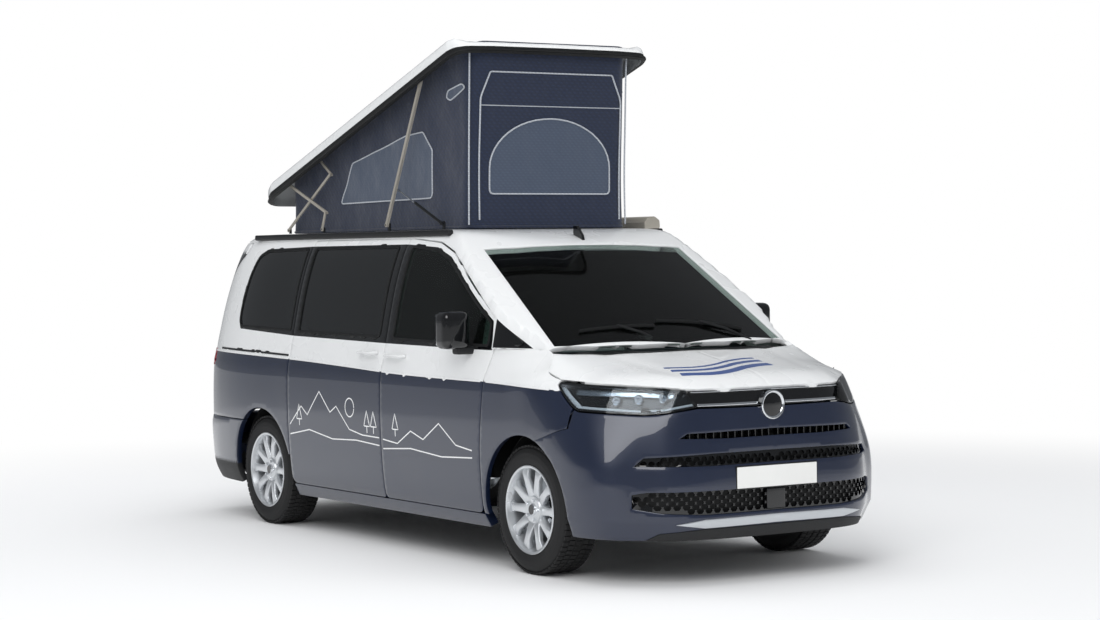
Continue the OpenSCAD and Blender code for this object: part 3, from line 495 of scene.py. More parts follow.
def panel(
    name: str,
    net: Net,
    place: Place,
    mats: Sequence[bpy.types.Material],
    pick: Optional[Callable[[Array, Array], Array]] = None,
    side: Side = Side.BOTH,
    thick: float = 0.03,
    bevel: float = 0.0022,
    out: float = 0.0,
) -> bpy.types.Object:
    """Bends a flat net onto the body and gives it a wall.

    Args:
        name: the piece's name.
        net: its flat net.
        place: the formula from the net's two coordinates to the right side of the body.
        mats: its finishes.
        pick: which finish each face takes, from its middle.
        side: the side it is made for; WHOLE joins both halves at the centre plane.
        thick: wall thickness.
        bevel: rounding of its edges.
        out: how far it stands proud.

    Returns:
        The finished object.
    """
    pts = place(net.points[:, 0], net.points[:, 1])
    faces = net.faces
    mid = net.points[faces].mean(1)
    index = pick(mid[:, 0], mid[:, 1]) if pick else np.zeros(len(faces), int)
    if side in (Side.LEFT, Side.BOTH, Side.WHOLE):
        other = pts * np.array([1, -1, 1])
        if side is Side.LEFT:
            pts, faces = other, faces[:, ::-1]
        else:
            faces = np.concatenate([faces, faces[:, ::-1] + len(pts)])
            pts, index = np.concatenate([pts, other]), np.concatenate([index, index])
    obj = mesh_of(name, pts, faces, mats, index)
    if side is Side.WHOLE:
        bm = bmesh.new()
        bm.from_mesh(obj.data)
        bmesh.ops.remove_doubles(bm, verts=[v for v in bm.verts if abs(v.co.y) < 2e-4], dist=1e-3)
        bm.to_mesh(obj.data)
        bm.free()
    if out:
        shift = obj.modifiers.new("out", "DISPLACE")
        shift.strength, shift.mid_level = out, 0.0
    wall = obj.modifiers.new("wall", "SOLIDIFY")
    wall.thickness, wall.offset = thick, -1.0
    wall.use_quality_normals = True
    if bevel > 0:
        edge = obj.modifiers.new("edge", "BEVEL")
        edge.width, edge.segments, edge.limit_method = bevel, 2, "ANGLE"
        edge.angle_limit = math.radians(50)
    return baked(obj)


def joined(name: str, objects: Sequence[bpy.types.Object]) -> bpy.types.Object:
    """Joins several objects into one mesh, keeping each one's finishes."""
    bm = bmesh.new()
    mats: list[bpy.types.Material] = []
    for o in objects:
        table = []
        for m in o.data.materials:
            if m not in mats:
                mats.append(m)
            table.append(mats.index(m))
        part = o.data.copy()
        part.transform(o.matrix_world)
        index = np.zeros(len(part.polygons), np.int32)
        part.polygons.foreach_get("material_index", index)
        part.polygons.foreach_set("material_index", np.array(table or [0], np.int32)[index])
        bm.from_mesh(part)
        bpy.data.objects.remove(o)
    mesh = bpy.data.meshes.new(name)
    bm.to_mesh(mesh)
    bm.free()
    for m in mats:
        mesh.materials.append(m)
    return new_object(name, mesh)


def smooth_path(points: Points, count: int) -> Array:
    """Even points along a smooth line through the given points."""
    p = np.array(points, float)
    run = np.concatenate([[0], np.cumsum(np.linalg.norm(np.diff(p, axis=0), axis=1))])
    return Curve(run, p)(np.linspace(0, run[-1], count))


def tube(name: str, path: Array, radius: float, mat: bpy.types.Material, sides: int = 8, closed: bool = False,
    flat: float = 1.0) -> bpy.types.Object:
    """A tube along a line, round or flattened.

    Args:
        name: the piece's name.
        path: the points it follows.
        radius: its radius.
        mat: its finish.
        sides: faces round it.
        closed: whether its ends meet.
        flat: its height as a share of its width.

    Returns:
        The object.
    """
    p = np.array(path, float)
    n = len(p)
    ahead = np.roll(p, -1, 0) - np.roll(p, 1, 0)
    if not closed:
        ahead[0], ahead[-1] = p[1] - p[0], p[-1] - p[-2]
    ahead /= np.linalg.norm(ahead, axis=1)[:, None] + 1e-12
    normal = np.zeros_like(p)
    seed = np.array([0, 0, 1.0]) if abs(ahead[0, 2]) < 0.9 else np.array([1.0, 0, 0])
    last = seed
    for i in range(n):
        v = last - ahead[i] * (last @ ahead[i])
        length = np.linalg.norm(v)
        last = normal[i] = v / length if length > 1e-9 else normal[i - 1]
    cross = np.cross(ahead, normal)
    angle = np.arange(sides) * 2 * math.pi / sides
    ring = normal[:, None] * (np.cos(angle) * flat)[None, :, None] + cross[:, None] * np.sin(angle)[None, :,
        None]
    pts = (p[:, None] + ring * radius).reshape(-1, 3)
    faces = []
    for i in range(n if closed else n - 1):
        a, b = i * sides, ((i + 1) % n) * sides
        faces += [(a + k, a + (k + 1) % sides, b + (k + 1) % sides, b + k) for k in range(sides)]
    if not closed:
        faces += [tuple(range(sides))[::-1], tuple((n - 1) * sides + k for k in range(sides))]
    obj = mesh_of(name, pts, faces, [mat])
    fix_normals(obj)
    sharpen(obj.data, 50)
    return obj


def fix_normals(obj: bpy.types.Object) -> None:
    """Merges doubles and turns a closed mesh's faces outwards."""
    bm = bmesh.new()
    bm.from_mesh(obj.data)
    bmesh.ops.remove_doubles(bm, verts=bm.verts, dist=1e-6)
    bmesh.ops.recalc_face_normals(bm, faces=bm.faces)
    bm.to_mesh(obj.data)
    bm.free()


def lathe(name: str, outline: Points, mats: Sequence[bpy.types.Material], parts: int = 96,
    pick: Sequence[int] = ()) -> bpy.types.Object:
    """Turns an [along, radius] outline about the Y axis through the origin.

    Args:
        name: the piece's name.
        outline: closed outline, outside first.
        mats: its finishes.
        parts: steps round the turn.
        pick: each outline step's finish.

    Returns:
        The object.
    """
    prof = np.array(outline, float)
    angle = np.arange(parts) * 2 * math.pi / parts
    pts = np.stack(
        [prof[:, 1][None] * np.cos(angle)[:, None], np.broadcast_to(prof[:, 0], (parts, len(prof))),
            prof[:, 1][None] * np.sin(angle)[:, None]],
        axis=2,
    ).reshape(-1, 3)
    n = len(prof)
    faces, index = [], []
    for a in range(parts):
        b = (a + 1) % parts
        for k in range(n):
            j = (k + 1) % n
            faces.append((a * n + k, a * n + j, b * n + j, b * n + k))
            index.append(pick[k] if k < len(pick) else 0)
    obj = mesh_of(name, pts, faces, mats, np.array(index))
    fix_normals(obj)
    sharpen(obj.data, 40)
    return obj


def block(name: str, low: Sequence[float], high: Sequence[float], mat: bpy.types.Material,
    bevel: float = 0.004, cuts: int = 3) -> bpy.types.Object:
    """A box with rounded edges."""
    bm = bmesh.new()
    bmesh.ops.create_cube(bm, size=1)
    lo, hi = np.array(low, float), np.array(high, float)
    for v in bm.verts:
        v.co = Vector((lo + hi) / 2 + np.array(v.co) * (hi - lo))
    bmesh.ops.bevel(bm, geom=bm.edges[:], offset=bevel, segments=cuts, affect="EDGES", profile=0.6)
    mesh = bpy.data.meshes.new(name)
    bm.to_mesh(mesh)
    bm.free()
    mesh.materials.append(mat)
    sharpen(mesh, 40)
    return new_object(name, mesh)


# ---------------------------------------------------------------- finishes


def linear(hex_colour: str, alpha: float = 1.0) -> tuple[float, float, float, float]:
    """Turns an sRGB hex colour into linear values."""
    parts = [int(hex_colour[i : i + 2], 16) / 255 for i in (1, 3, 5)]
    out = [p / 12.92 if p <= 0.04045 else ((p + 0.055) / 1.055) ** 2.4 for p in parts]
    return (out[0], out[1], out[2], alpha)


def add(tree: bpy.types.NodeTree, kind: str, links: Optional[dict] = None, **values: object) -> bpy.types.Node:
    """Adds a node with its settings, socket values and links.

    Args:
        tree: the tree it goes into.
        kind: the node's type.
        links: input name or index to the output that feeds it.
        values: a socket's value by its name with _ for spaces, or a setting of the node.

    Returns:
        The node.
    """
    node = tree.nodes.new(kind)
    for key, value in values.items():
        name = key.replace("_", " ")
        found = [s for s in node.inputs if s.name == name] or [s for s in node.inputs if s.name.lower() == name.lower()]
        if hasattr(node, key) and not found:
            setattr(node, key, value)
        else:
            found[0].default_value = value
    for key, output in (links or {}).items():
        tree.links.new(node.inputs[key], output)
    return node


@dataclass(frozen=True)
class Finish:
    """A finish and what it is made from."""

    name: str
    colour: str
    rough: float = 0.5
    metal: float = 0.0
    ior: float = 1.5
    coat: float = 0.0
    grain_mm: float = 2.0
    depth: float = 0.0
    vary: float = 0.06
    clear: float = 0.0
    sheen: float = 0.0
    stretch: tuple[float, float, float] = (1.0, 1.0, 1.0)

    def make(self) -> bpy.types.Material:
        """Builds the material: base colour with slow and fine variation, grain in the bump and the roughness."""
        mat = bpy.data.materials.new(self.name)
        mat.use_nodes = True
        tree = mat.node_tree
        tree.nodes.clear()
        where = add(tree, "ShaderNodeTexCoord").outputs["Object"]
        turned = add(tree, "ShaderNodeMapping", {0: where}, Scale=self.stretch).outputs[0]
        fine = add(tree, "ShaderNodeTexNoise", {"Vector": turned}, Scale=1000 / self.grain_mm,
            Detail=3.0).outputs[0]
        slow = add(tree, "ShaderNodeTexNoise", {"Vector": where}, Scale=2.4, Detail=3.0).outputs[0]
        both = add(tree, "ShaderNodeMath", {0: fine, 1: slow}, operation="MULTIPLY").outputs[0]
        r, g, b, _ = linear(self.colour)
        k = self.vary
        ramp = add(tree, "ShaderNodeValToRGB", {"Fac": both})
        ramp.color_ramp.elements[0].position, ramp.color_ramp.elements[1].position = 0.12, 0.42
        ramp.color_ramp.elements[0].color = (r * (1 - k), g * (1 - k), b * (1 - k), 1)
        ramp.color_ramp.elements[1].color = (min(r * (1 + k), 1), min(g * (1 + k), 1), min(b * (1 + k), 1), 1)
        rough = add(tree, "ShaderNodeMapRange", {"Value": slow}, From_Min=0.3, From_Max=0.7,
            To_Min=self.rough * 0.9, To_Max=min(self.rough * 1.12, 1.0))
        links = {"Base Color": ramp.outputs[0], "Roughness": rough.outputs[0]}
        if self.depth:
            bump = add(tree, "ShaderNodeBump", {"Height": fine}, Strength=min(self.depth, 1.0),
                Distance=self.grain_mm / 1000)
            links["Normal"] = bump.outputs[0]
        values = {"Metallic": self.metal, "IOR": self.ior, "Coat_Weight": self.coat, "Coat_Roughness": 0.03,
            "Transmission_Weight": self.clear, "Sheen_Weight": self.sheen}
        shader = add(tree, "ShaderNodeBsdfPrincipled", links, **values)
        add(tree, "ShaderNodeOutputMaterial", {"Surface": shader.outputs[0]})
        return mat


@dataclass(frozen=True)
class Pane:
    """Toughened glass: light passes straight through, tinted, with a clear reflection on top."""

    name: str
    tint: str
    through: float
    bend: float = 1.25

    def make(self) -> bpy.types.Material:
        """Builds the glass."""
        mat = bpy.data.materials.new(self.name)
        mat.use_nodes = True
        tree = mat.node_tree
        tree.nodes.clear()
        where = add(tree, "ShaderNodeTexCoord").outputs["Object"]
        haze = add(tree, "ShaderNodeTexNoise", {"Vector": where}, Scale=3.0, Detail=2.0).outputs[0]
        rough = add(tree, "ShaderNodeMapRange", {"Value": haze}, From_Min=0.3, From_Max=0.7, To_Min=0.0,
            To_Max=0.02).outputs[0]
        r, g, b, _ = linear(self.tint)
        see = add(tree, "ShaderNodeBsdfTransparent", Color=(r, g, b, 1)).outputs[0]
        dark = add(tree, "ShaderNodeBsdfPrincipled", {"Roughness": rough},
            Base_Color=(r * 0.10, g * 0.10, b * 0.10, 1), IOR=1.52).outputs[0]
        gloss = add(tree, "ShaderNodeBsdfGlossy", {"Roughness": rough}, Color=(1, 1, 1, 1)).outputs[0]
        body = add(tree, "ShaderNodeMixShader", {1: dark, 2: see}, Fac=self.through).outputs[0]
        edge = add(tree, "ShaderNodeFresnel", IOR=self.bend).outputs[0]
        mixed = add(tree, "ShaderNodeMixShader", {0: edge, 1: body, 2: gloss}).outputs[0]
        add(tree, "ShaderNodeOutputMaterial", {"Surface": mixed})
        return mat


@dataclass(frozen=True)
class Cloth:
    """Woven cloth: crossing threads drawn coarser than real so that they show."""

    name: str
    warp: str
    weft: str
    thread_mm: float
    depth: float
    rough: float = 0.85
    crease: float = 0.25

    def make(self) -> bpy.types.Material:
        """Builds the weave from two wave patterns and a slow crease pattern."""
        mat = bpy.data.materials.new(self.name)
        mat.use_nodes = True
        tree = mat.node_tree
        tree.nodes.clear()
        where = add(tree, "ShaderNodeTexCoord").outputs["Object"]
        scale = 1000 / self.thread_mm / 20
        up = add(tree, "ShaderNodeTexWave", {"Vector": where}, bands_direction="Z", Scale=scale,
            Distortion=0.4).outputs[1]
        over = add(tree, "ShaderNodeTexWave", {"Vector": where}, bands_direction="DIAGONAL", Scale=scale,
            Distortion=0.4).outputs[1]
        weave = add(tree, "ShaderNodeMath", {0: up, 1: over}, operation="MULTIPLY").outputs[0]
        slow = add(tree, "ShaderNodeTexNoise", {"Vector": where}, Scale=5.0, Detail=4.0).outputs[0]
        height = add(tree, "ShaderNodeMath", {0: weave, 1: slow}, operation="ADD").outputs[0]
        colour = add(tree, "ShaderNodeMix", {"Factor": weave}, data_type="RGBA")
        colour.inputs[6].default_value, colour.inputs[7].default_value = linear(self.weft), linear(self.warp)
        fold = add(tree, "ShaderNodeBump", {"Height": slow}, Strength=self.crease, Distance=0.05).outputs[0]
        bump = add(tree, "ShaderNodeBump", {"Height": height, "Normal": fold}, Strength=self.depth,
            Distance=self.thread_mm / 1000).outputs[0]
        rough = add(tree, "ShaderNodeMapRange", {"Value": weave}, To_Min=self.rough - 0.08,
            To_Max=self.rough + 0.05).outputs[0]
        shader = add(tree, "ShaderNodeBsdfPrincipled", {"Base Color": colour.outputs[2], "Normal": bump,
            "Roughness": rough}, Sheen_Weight=0.25, IOR=1.45)
        add(tree, "ShaderNodeOutputMaterial", {"Surface": shader.outputs[0]})
        return mat


class Palette:
    """Every finish on the van, made once."""

    def __init__(self) -> None:
        """Builds the materials."""
        # Two-layer metallic enamel under clear lacquer: dark, with a bluish flake and a sharp reflection
        self.navy = Finish("navy_metallic_enamel", "#14203a", 0.34, 0.20, 1.5, 1.0, 3.0, 0.02, 0.10).make()
        # Solid white enamel under clear lacquer
        self.white = Finish("white_enamel", "#eceded", 0.28, 0.0, 1.5, 0.7, 3.0, 0.0, 0.015).make()
        # High-gloss black ABS on pillars and band
        self.gloss_black = Finish("gloss_black_abs", "#0b0c0e", 0.08, 0.0, 1.5, 0.5, 2.0, 0.0, 0.2).make()
        # Spark-grained black polypropylene
        self.black = Finish("grained_black_polypropylene", "#17181a", 0.55, 0.0, 1.5, 0.0, 1.6, 0.35,
            0.25).make()
        # Extruded rubber of seals
        self.rubber = Finish("black_epdm_rubber", "#0f1011", 0.65, 0.0, 1.5, 0.0, 1.2, 0.2, 0.3).make()
        # Tyre tread and wall, faintly brown and dusty
        self.tyre = Finish("tyre_rubber", "#1b1b1c", 0.72, 0.0, 1.5, 0.0, 2.0, 0.3, 0.35).make()
        # Diamond-turned and silver-lacquered wheel alloy
        self.alloy = Finish("silver_lacquered_alloy", "#d9dcdf", 0.30, 0.72, 1.5, 0.6, 1.5, 0.03, 0.04).make()
        # Anodised extrusions of the roof linkage
        self.anodised = Finish("champagne_anodised_aluminium", "#c2bcb0", 0.42, 0.55, 1.5, 0.0, 1.0, 0.08,
            0.08, stretch=(0.15, 1, 1)).make()
        # Bright trim, chromed ABS
        self.chrome = Finish("chromed_abs", "#e2e5e8", 0.07, 1.0, 1.5, 0.0, 2.0, 0.0, 0.02).make()
        # Satin silver painted lip
        self.silver = Finish("satin_silver_enamel", "#c9cdd1", 0.35, 0.55, 1.5, 0.3, 2.0, 0.02, 0.05).make()
        # Phosphated and painted suspension steel
        self.steel = Finish("painted_chassis_steel", "#1c1e20", 0.5, 0.2, 1.5, 0.0, 4.0, 0.3, 0.3).make()
        # Ground piston rods
        self.rod = Finish("ground_piston_steel", "#c8ccd0", 0.18, 1.0, 1.5, 0.0, 1.0, 0.02, 0.05).make()
        # Needle-felt liners of the arches and the floor carpet
        self.felt = Finish("needle_felt", "#141517", 0.95, 0.0, 1.5, 0.0, 3.0, 0.7, 0.4).make()
        # Matt laminate of the cupboards
        self.laminate = Finish("matt_laminate", "#b9b4a8", 0.45, 0.0, 1.5, 0.0, 6.0, 0.06, 0.08,
            stretch=(0.1, 1, 1)).make()
        # Slush-moulded skin of the dashboard
        self.skin = Finish("moulded_dashboard_skin", "#2a2d31", 0.6, 0.0, 1.5, 0.0, 2.4, 0.4, 0.15).make()
        # Pale headlining cloth
        self.lining = Finish("headlining_cloth", "#a9abab", 0.9, 0.0, 1.5, 0.0, 2.0, 0.4, 0.08).make()
        # White retro-reflective blank of the number plates
        self.plate = Finish("plate_blank", "#f1f1ee", 0.35, 0.0, 1.5, 0.2, 1.0, 0.03, 0.02).make()
        # White vinyl of the line drawings
        self.vinyl = Finish("white_vinyl", "#f4f5f5", 0.4, 0.0, 1.5, 0.0, 2.0, 0.02, 0.02).make()
        # Blue vinyl of the bonnet bands
        self.blue_vinyl = Finish("blue_vinyl", "#33508f", 0.35, 0.0, 1.5, 0.3, 2.0, 0.02, 0.10).make()
        # Moulded red acrylic
        self.red = Finish("red_acrylic", "#a5121a", 0.12, 0.0, 1.49, 0.6, 8.0, 0.1, 0.2).make()
        self.bright = Finish("aluminised_reflector", "#cfd6dd", 0.16, 0.9, 1.5, 0.0, 6.0, 0.15, 0.1).make()
        self.daylight = Finish("daylight_guide", "#f7fafc", 0.25, 0.0, 1.49, 0.3, 4.0, 0.02, 0.02).make()
        self.screen = Pane("green_laminated_glass", "#e6f0ec", 0.97).make()
        self.cab = Pane("green_toughened_glass", "#c4d6ce", 0.92).make()
        self.privacy = Pane("privacy_glass", "#5c6265", 0.42, 1.28).make()
        self.lens = Pane("lamp_polycarbonate", "#eef2f5", 0.96, 1.35).make()
        # Coated cotton and polyester tent cloth
        self.canvas = Cloth("navy_tent_cloth", "#25304a", "#1b2439", 3.0, 0.15, 0.82, 0.30).make()
        self.gauze = Cloth("grey_insect_gauze", "#4c5768", "#434d5f", 2.5, 0.12, 0.9, 0.45).make()
        self.piping = Cloth("pale_piping", "#c7cbd0", "#a9aeb6", 2.0, 0.3, 0.8, 0.0).make()
        # Flat-woven seat cloth and its smooth pale bolsters
        self.seat = Cloth("grey_seat_cloth", "#b4b8bb", "#a0a5a8", 4.0, 0.25, 0.88, 0.12).make()
        self.bolster = Finish("pale_seat_leatherette", "#a7a9aa", 0.5, 0.0, 1.5, 0.0, 1.8, 0.3, 0.06).make()


MAT: Palette


# ---------------------------------------------------------------- body panels

SPLIT = Curve([-2.60, -1.99, -0.94, -0.29, 0.31, 0.88, 1.26, 2.05, 2.40],
    [1.088, 1.082, 1.062, 1.042, 1.022, 1.015, 1.012, 0.990, 0.985])
DOOR_REAR = AXLE_FRONT - 1.530
SLIDE_REAR = AXLE_REAR + 0.395 + SHUT
BELT = 1.215


def gate_y(z: float) -> float:
    """Half width of the tailgate's opening at a height."""
    return min(0.757, float(BODY.WIDTH(np.array([z]))[0]) - 0.030)


def two_tone(u: Array, z: Array) -> Array:
    """Finish 0, navy, below the waist line and 1, white, above it."""
    return (z > SPLIT(u)).astype(int)


def waist(u0: float, u1: float, count: int = 60) -> list[tuple[float, float]]:
    """The waist line between two places on the flank."""
    us = np.linspace(u0, u1, count)
    return [(float(a), float(b)) for a, b in zip(us, SPLIT(us))]


def arc(cx: float, cz: float, r: float, a0: float, a1: float, count: int = 28) -> list[tuple[float, float]]:
    """Points of a circle's arc, in degrees."""
    return [(cx + r * math.cos(math.radians(a)), cz + r * math.sin(math.radians(a))) for a in np.linspace(a0,
        a1, count)]


def band(points: Points, wide: float) -> list[tuple[float, float]]:
    """A closed strip round an open line."""
    p = np.array(points, float)
    d = np.gradient(p, axis=0)
    n = np.stack([-d[:, 1], d[:, 0]], 1) / (np.linalg.norm(d, axis=1)[:, None] + 1e-12) * wide / 2
    return [tuple(q) for q in np.concatenate([p + n, (p - n)[::-1]])]


@dataclass
class Flanks:
    """Doors, sliding doors, rear side panels, sills and their glass."""

    gap: float = 0.028
    wall: float = 0.034
    glass: float = 0.004

    def __post_init__(self) -> None:
        """Sets out the outlines as [x, z]."""
        self.door = rounded(
            from_axle([(-0.440, 0.292), (-0.430, 0.64), (-0.386, 1.02), (-0.362, 1.172), (-0.368, 1.35),
                (-0.830, 1.640), (-0.960, 1.712), (-1.150, 1.768)])
            + [(DOOR_REAR + 0.03, 1.794), (DOOR_REAR, 1.794), (DOOR_REAR, 0.292)],
            [0.06, 0.2, 0.2, 0.05, 0.10, 0.3, 0.15, 0.2, 0.03, 0.01, 0.03],
        )
        self.door_window = rounded(
            from_axle([(-0.412, BELT - 0.012), (-0.412, 1.330), (-0.845, 1.602), (-0.970, 1.674),
                (-1.160, 1.730)]) + [(DOOR_REAR + 0.075, 1.752), (DOOR_REAR + 0.075, BELT + 0.004)],
            [0.02, 0.04, 0.3, 0.15, 0.2, 0.02, 0.02],
        )
        self.slide = rounded([(DOOR_REAR - SHUT, 0.292), (DOOR_REAR - SHUT, 1.794), (SLIDE_REAR, 1.794),
            (SLIDE_REAR, 0.292)], [0.03, 0.01, 0.01, 0.05])
        self.slide_window = rounded([(DOOR_REAR - 0.085, BELT + 0.012), (DOOR_REAR - 0.085, 1.752),
            (SLIDE_REAR + 0.055, 1.750), (SLIDE_REAR + 0.055, BELT + 0.022)], 0.025)
        r = REAR_END
        self.rear_window = rounded(
            [(SLIDE_REAR - 0.050, BELT + 0.026), (SLIDE_REAR - 0.050, 1.749), (r + 0.86, 1.738),
                (r + 0.745, 1.700), (r + 0.684, 1.586), (r + 0.655, 1.358), (r + 0.664, 1.300),
                (r + 0.700, BELT + 0.040)],
            [0.02, 0.02, 0.12, 0.10, 0.3, 0.12, 0.05, 0.03],
        )
        gate = [(BODY.u_for_y(gate_y(z) + 0.004, z, True), z) for z in np.linspace(0.658, 1.790, 30)]
        arch = arc(AXLE_REAR, WHEEL_Z, ARCH_R, 18, 128.2)
        self.dark_band = rounded(
            [(1.262, 1.180), (0.1075, 1.190), (-1.08, 1.208), (r + 0.700, BELT + 0.024), (r + 0.652, 1.290),
                (r + 0.643, 1.358), (r + 0.672, 1.590), (r + 0.734, 1.708), (r + 0.856, 1.750)]
            + [(SLIDE_REAR, 1.762), (DOOR_REAR, 1.764), (0.4775, 1.744), (0.6725, 1.688), (0.7985, 1.616),
                (1.2415, 1.337)],
            [0, 0, 0, 0.03, 0.05, 0.12, 0.3, 0.10, 0.12, 0, 0, 0.1, 0.1, 0.3, 0.02],
        )
        self.rear_side = (
            [(SLIDE_REAR - SHUT, 0.47), (SLIDE_REAR - SHUT, 1.800), (-1.9, 1.800), (-2.15, 1.796)]
            + gate[::-1]
            + arch[::-1]
        )

    def glazed_band(self, u: Array, z: Array) -> Array:
        """Finish 2, black, round the windows, and the two-tone elsewhere."""
        return np.where(inside(np.column_stack([u, z]), np.array(self.dark_band)), 2, two_tone(u, z))

    def build(self) -> None:
        """Makes the panels, glass and trim on both sides."""
        tones = [MAT.navy, MAT.white, MAT.gloss_black]
        dark = self.dark_band + self.dark_band[:1]
        for side, word in ((Side.RIGHT, "right"), (Side.LEFT, "left")):
            net = flat_net(self.door, [self.door_window], [waist(DOOR_REAR - 0.01, 1.29), dark], self.gap)
            piece = panel(f"{word}_door_skin", net, BODY.ring, tones, self.glazed_band, side, self.wall)
            settle(piece, f"{word}_door", [f"{word}_front_door"])
            self.glaze(f"{word}_door_pane", self.door_window, MAT.cab, side, f"{word}_door",
                f"{word}_door_glass")
            self.door_trim(word, side)
        net = flat_net(self.slide, [self.slide_window], [waist(SLIDE_REAR - 0.01, DOOR_REAR + 0.01), dark],
            self.gap)
        settle(panel("sliding_door_skins", net, BODY.ring, tones, self.glazed_band, Side.BOTH, self.wall),
            "body", ["sliding_doors"])
        rail = [(x, float(SPLIT(np.array([x]))[0]) + 0.021) for x in np.linspace(-2.20, SLIDE_REAR - 0.02, 24)]
        slot = rounded(band(rail, 0.012), 0.002)
        tail = flat_net(self.rear_side, [self.rear_window, self.lamp()],
            [waist(-2.40, SLIDE_REAR + 0.01), dark], self.gap)
        settle(panel("rear_quarter_panels", tail, BODY.ring, tones, self.glazed_band, Side.BOTH, self.wall),
            "body", ["rear_side_panels"])
        groove = panel("sliding_door_rails", flat_net(slot, gap=0.02), BODY.ring, [MAT.black], None,
            Side.BOTH, 0.006, 0.0, 0.0025)
        settle(groove, "body")
        lamp = panel("tail_lamp_lenses", flat_net(grown(self.lamp(), -0.002), gap=0.012), BODY.ring,
            [MAT.red], None, Side.BOTH, 0.02, 0.002, 0.003)
        settle(lamp, "body", ["tail_lights"])
        panes = [
            self.pane("slide_panes", self.slide_window, MAT.privacy, Side.BOTH),
            self.pane("quarter_panes", self.rear_window, MAT.privacy, Side.BOTH),
        ]
        settle(joined("side_panes", panes), "body", ["side_windows"])
        seals = [self.seal("s1", self.slide_window), self.seal("s2", self.rear_window)]
        settle(joined("side_window_seals", seals), "body")
        strip_parts = []
        for k, (a, b) in enumerate(((-2.36, SLIDE_REAR - 0.014), (SLIDE_REAR + 0.010, DOOR_REAR - 0.016))):
            line = [(x, z + 0.002) for x, z in waist(a, b, 40)]
            strip_parts.append(panel(f"w{k}", flat_net(band(line, 0.013), gap=0.012), BODY.ring, [MAT.white],
                None, Side.BOTH, 0.008, 0.0015, 0.005))
        settle(joined("waist_mouldings", strip_parts), "body")
        sill = rounded([(SLIDE_REAR, 0.215), (SLIDE_REAR, 0.286), (AXLE_FRONT - 0.440, 0.286),
            (AXLE_FRONT - 0.418, 0.215)], 0.012)
        settle(panel("sill_skins", flat_net(sill, gap=0.03), BODY.ring, [MAT.navy], None, Side.BOTH, 0.05),
            "body", ["sills"])
        for x, word in ((DOOR_REAR + 0.155, "door"), (DOOR_REAR - 0.175, "slide")):
            self.handle(x, word)

    def lamp(self) -> list[tuple[float, float]]:
        """Outline of the tail lamp, from the gate's edge round the corner."""
        inner = [(BODY.u_for_y(0.756, z, True), z) for z in (0.990, 1.100)]
        return rounded([inner[0], (inner[0][0] + 0.205, 0.985), (inner[0][0] + 0.255, 1.085),
            (inner[0][0] + 0.24, 1.100), inner[1]], [0.004, 0.03, 0.01, 0.01, 0.004])

    def pane(self, name: str, outline: Points, mat: bpy.types.Material, side: Side) -> bpy.types.Object:
        """One pane, just behind the skin."""
        return panel(name, flat_net(grown(outline, -0.0015), gap=0.035), BODY.ring, [mat], None, side,
            self.glass, 0.0, -0.004)

    def glaze(self, name: str, outline: Points, mat: bpy.types.Material, side: Side, body: str,
        node: str) -> None:
        """A pane with its seal on one side."""
        settle(self.pane(name, outline, mat, side), body, [node])
        settle(self.seal(f"{name}_seal", outline, side), body)

    def seal(self, name: str, outline: Points, side: Side = Side.BOTH) -> bpy.types.Object:
        """The rubber run round a window."""
        return panel(name, flat_net(grown(outline, 0.006), [grown(outline, -0.008)], gap=0.02), BODY.ring,
            [MAT.rubber], None, side, 0.012, 0.001, 0.0032)

    def door_trim(self, word: str, side: Side) -> None:
        """Waist strip and inner trim of a front door."""
        body = f"{word}_door"
        line = [(x, z + 0.002) for x, z in waist(DOOR_REAR + 0.014, 1.225, 40)]
        strip = panel(f"{word}_door_moulding", flat_net(band(line, 0.013), gap=0.012), BODY.ring, [MAT.white],
            None, side, 0.008, 0.0015, 0.005)
        settle(strip, body)
        card = rounded([(DOOR_REAR + 0.07, 0.36), (DOOR_REAR + 0.07, BELT - 0.03), (1.19, BELT - 0.04),
            (1.16, 0.36)], 0.06)
        inner = panel(f"{word}_door_card", flat_net(card, gap=0.05), BODY.ring, [MAT.skin], None, side, 0.02,
            0.006, -0.036)
        settle(inner, body)
        y = -1.0 if side is Side.RIGHT else 1.0
        rest = block(f"{word}_arm_rest", (0.35, min(y * 0.905, y * 0.845), 0.86),
            (0.85, max(y * 0.905, y * 0.845), 0.93), MAT.bolster, 0.02, 4)
        settle(rest, body)

    def handle(self, x: float, word: str) -> None:
        """Bow handles with their recess, one on each side."""
        z = float(SPLIT(np.array([x]))[0]) + 0.098
        for side, name in ((Side.RIGHT, "right"), (Side.LEFT, "left")):
            y = -1.0 if side is Side.RIGHT else 1.0
            base = BODY.ring(np.array([x]), np.array([z]))[0, 1] * -1
            path = smooth_path([(x - 0.095, base + 0.002, z), (x - 0.085, base + 0.026, z),
                (x, base + 0.036, z + 0.003), (x + 0.085, base + 0.026, z), (x + 0.095, base + 0.002, z)], 26)
            bow = tube(f"{name}_{word}_handle", path * np.array([1, y, 1]), 0.017, MAT.white, 12, False, 0.55)
            cup = panel(f"{name}_{word}_cup", flat_net(rounded([(x - 0.06, z - 0.035), (x - 0.06, z + 0.035),
                (x + 0.06, z + 0.035), (x + 0.06, z - 0.035)], 0.033), gap=0.015), BODY.ring, [MAT.white],
                None, side, 0.004, 0.0, 0.0008)
            body = f"{name}_door" if word == "door" else "body"
            settle(joined(f"{name}_{word}_grip", [bow, cup]), body)


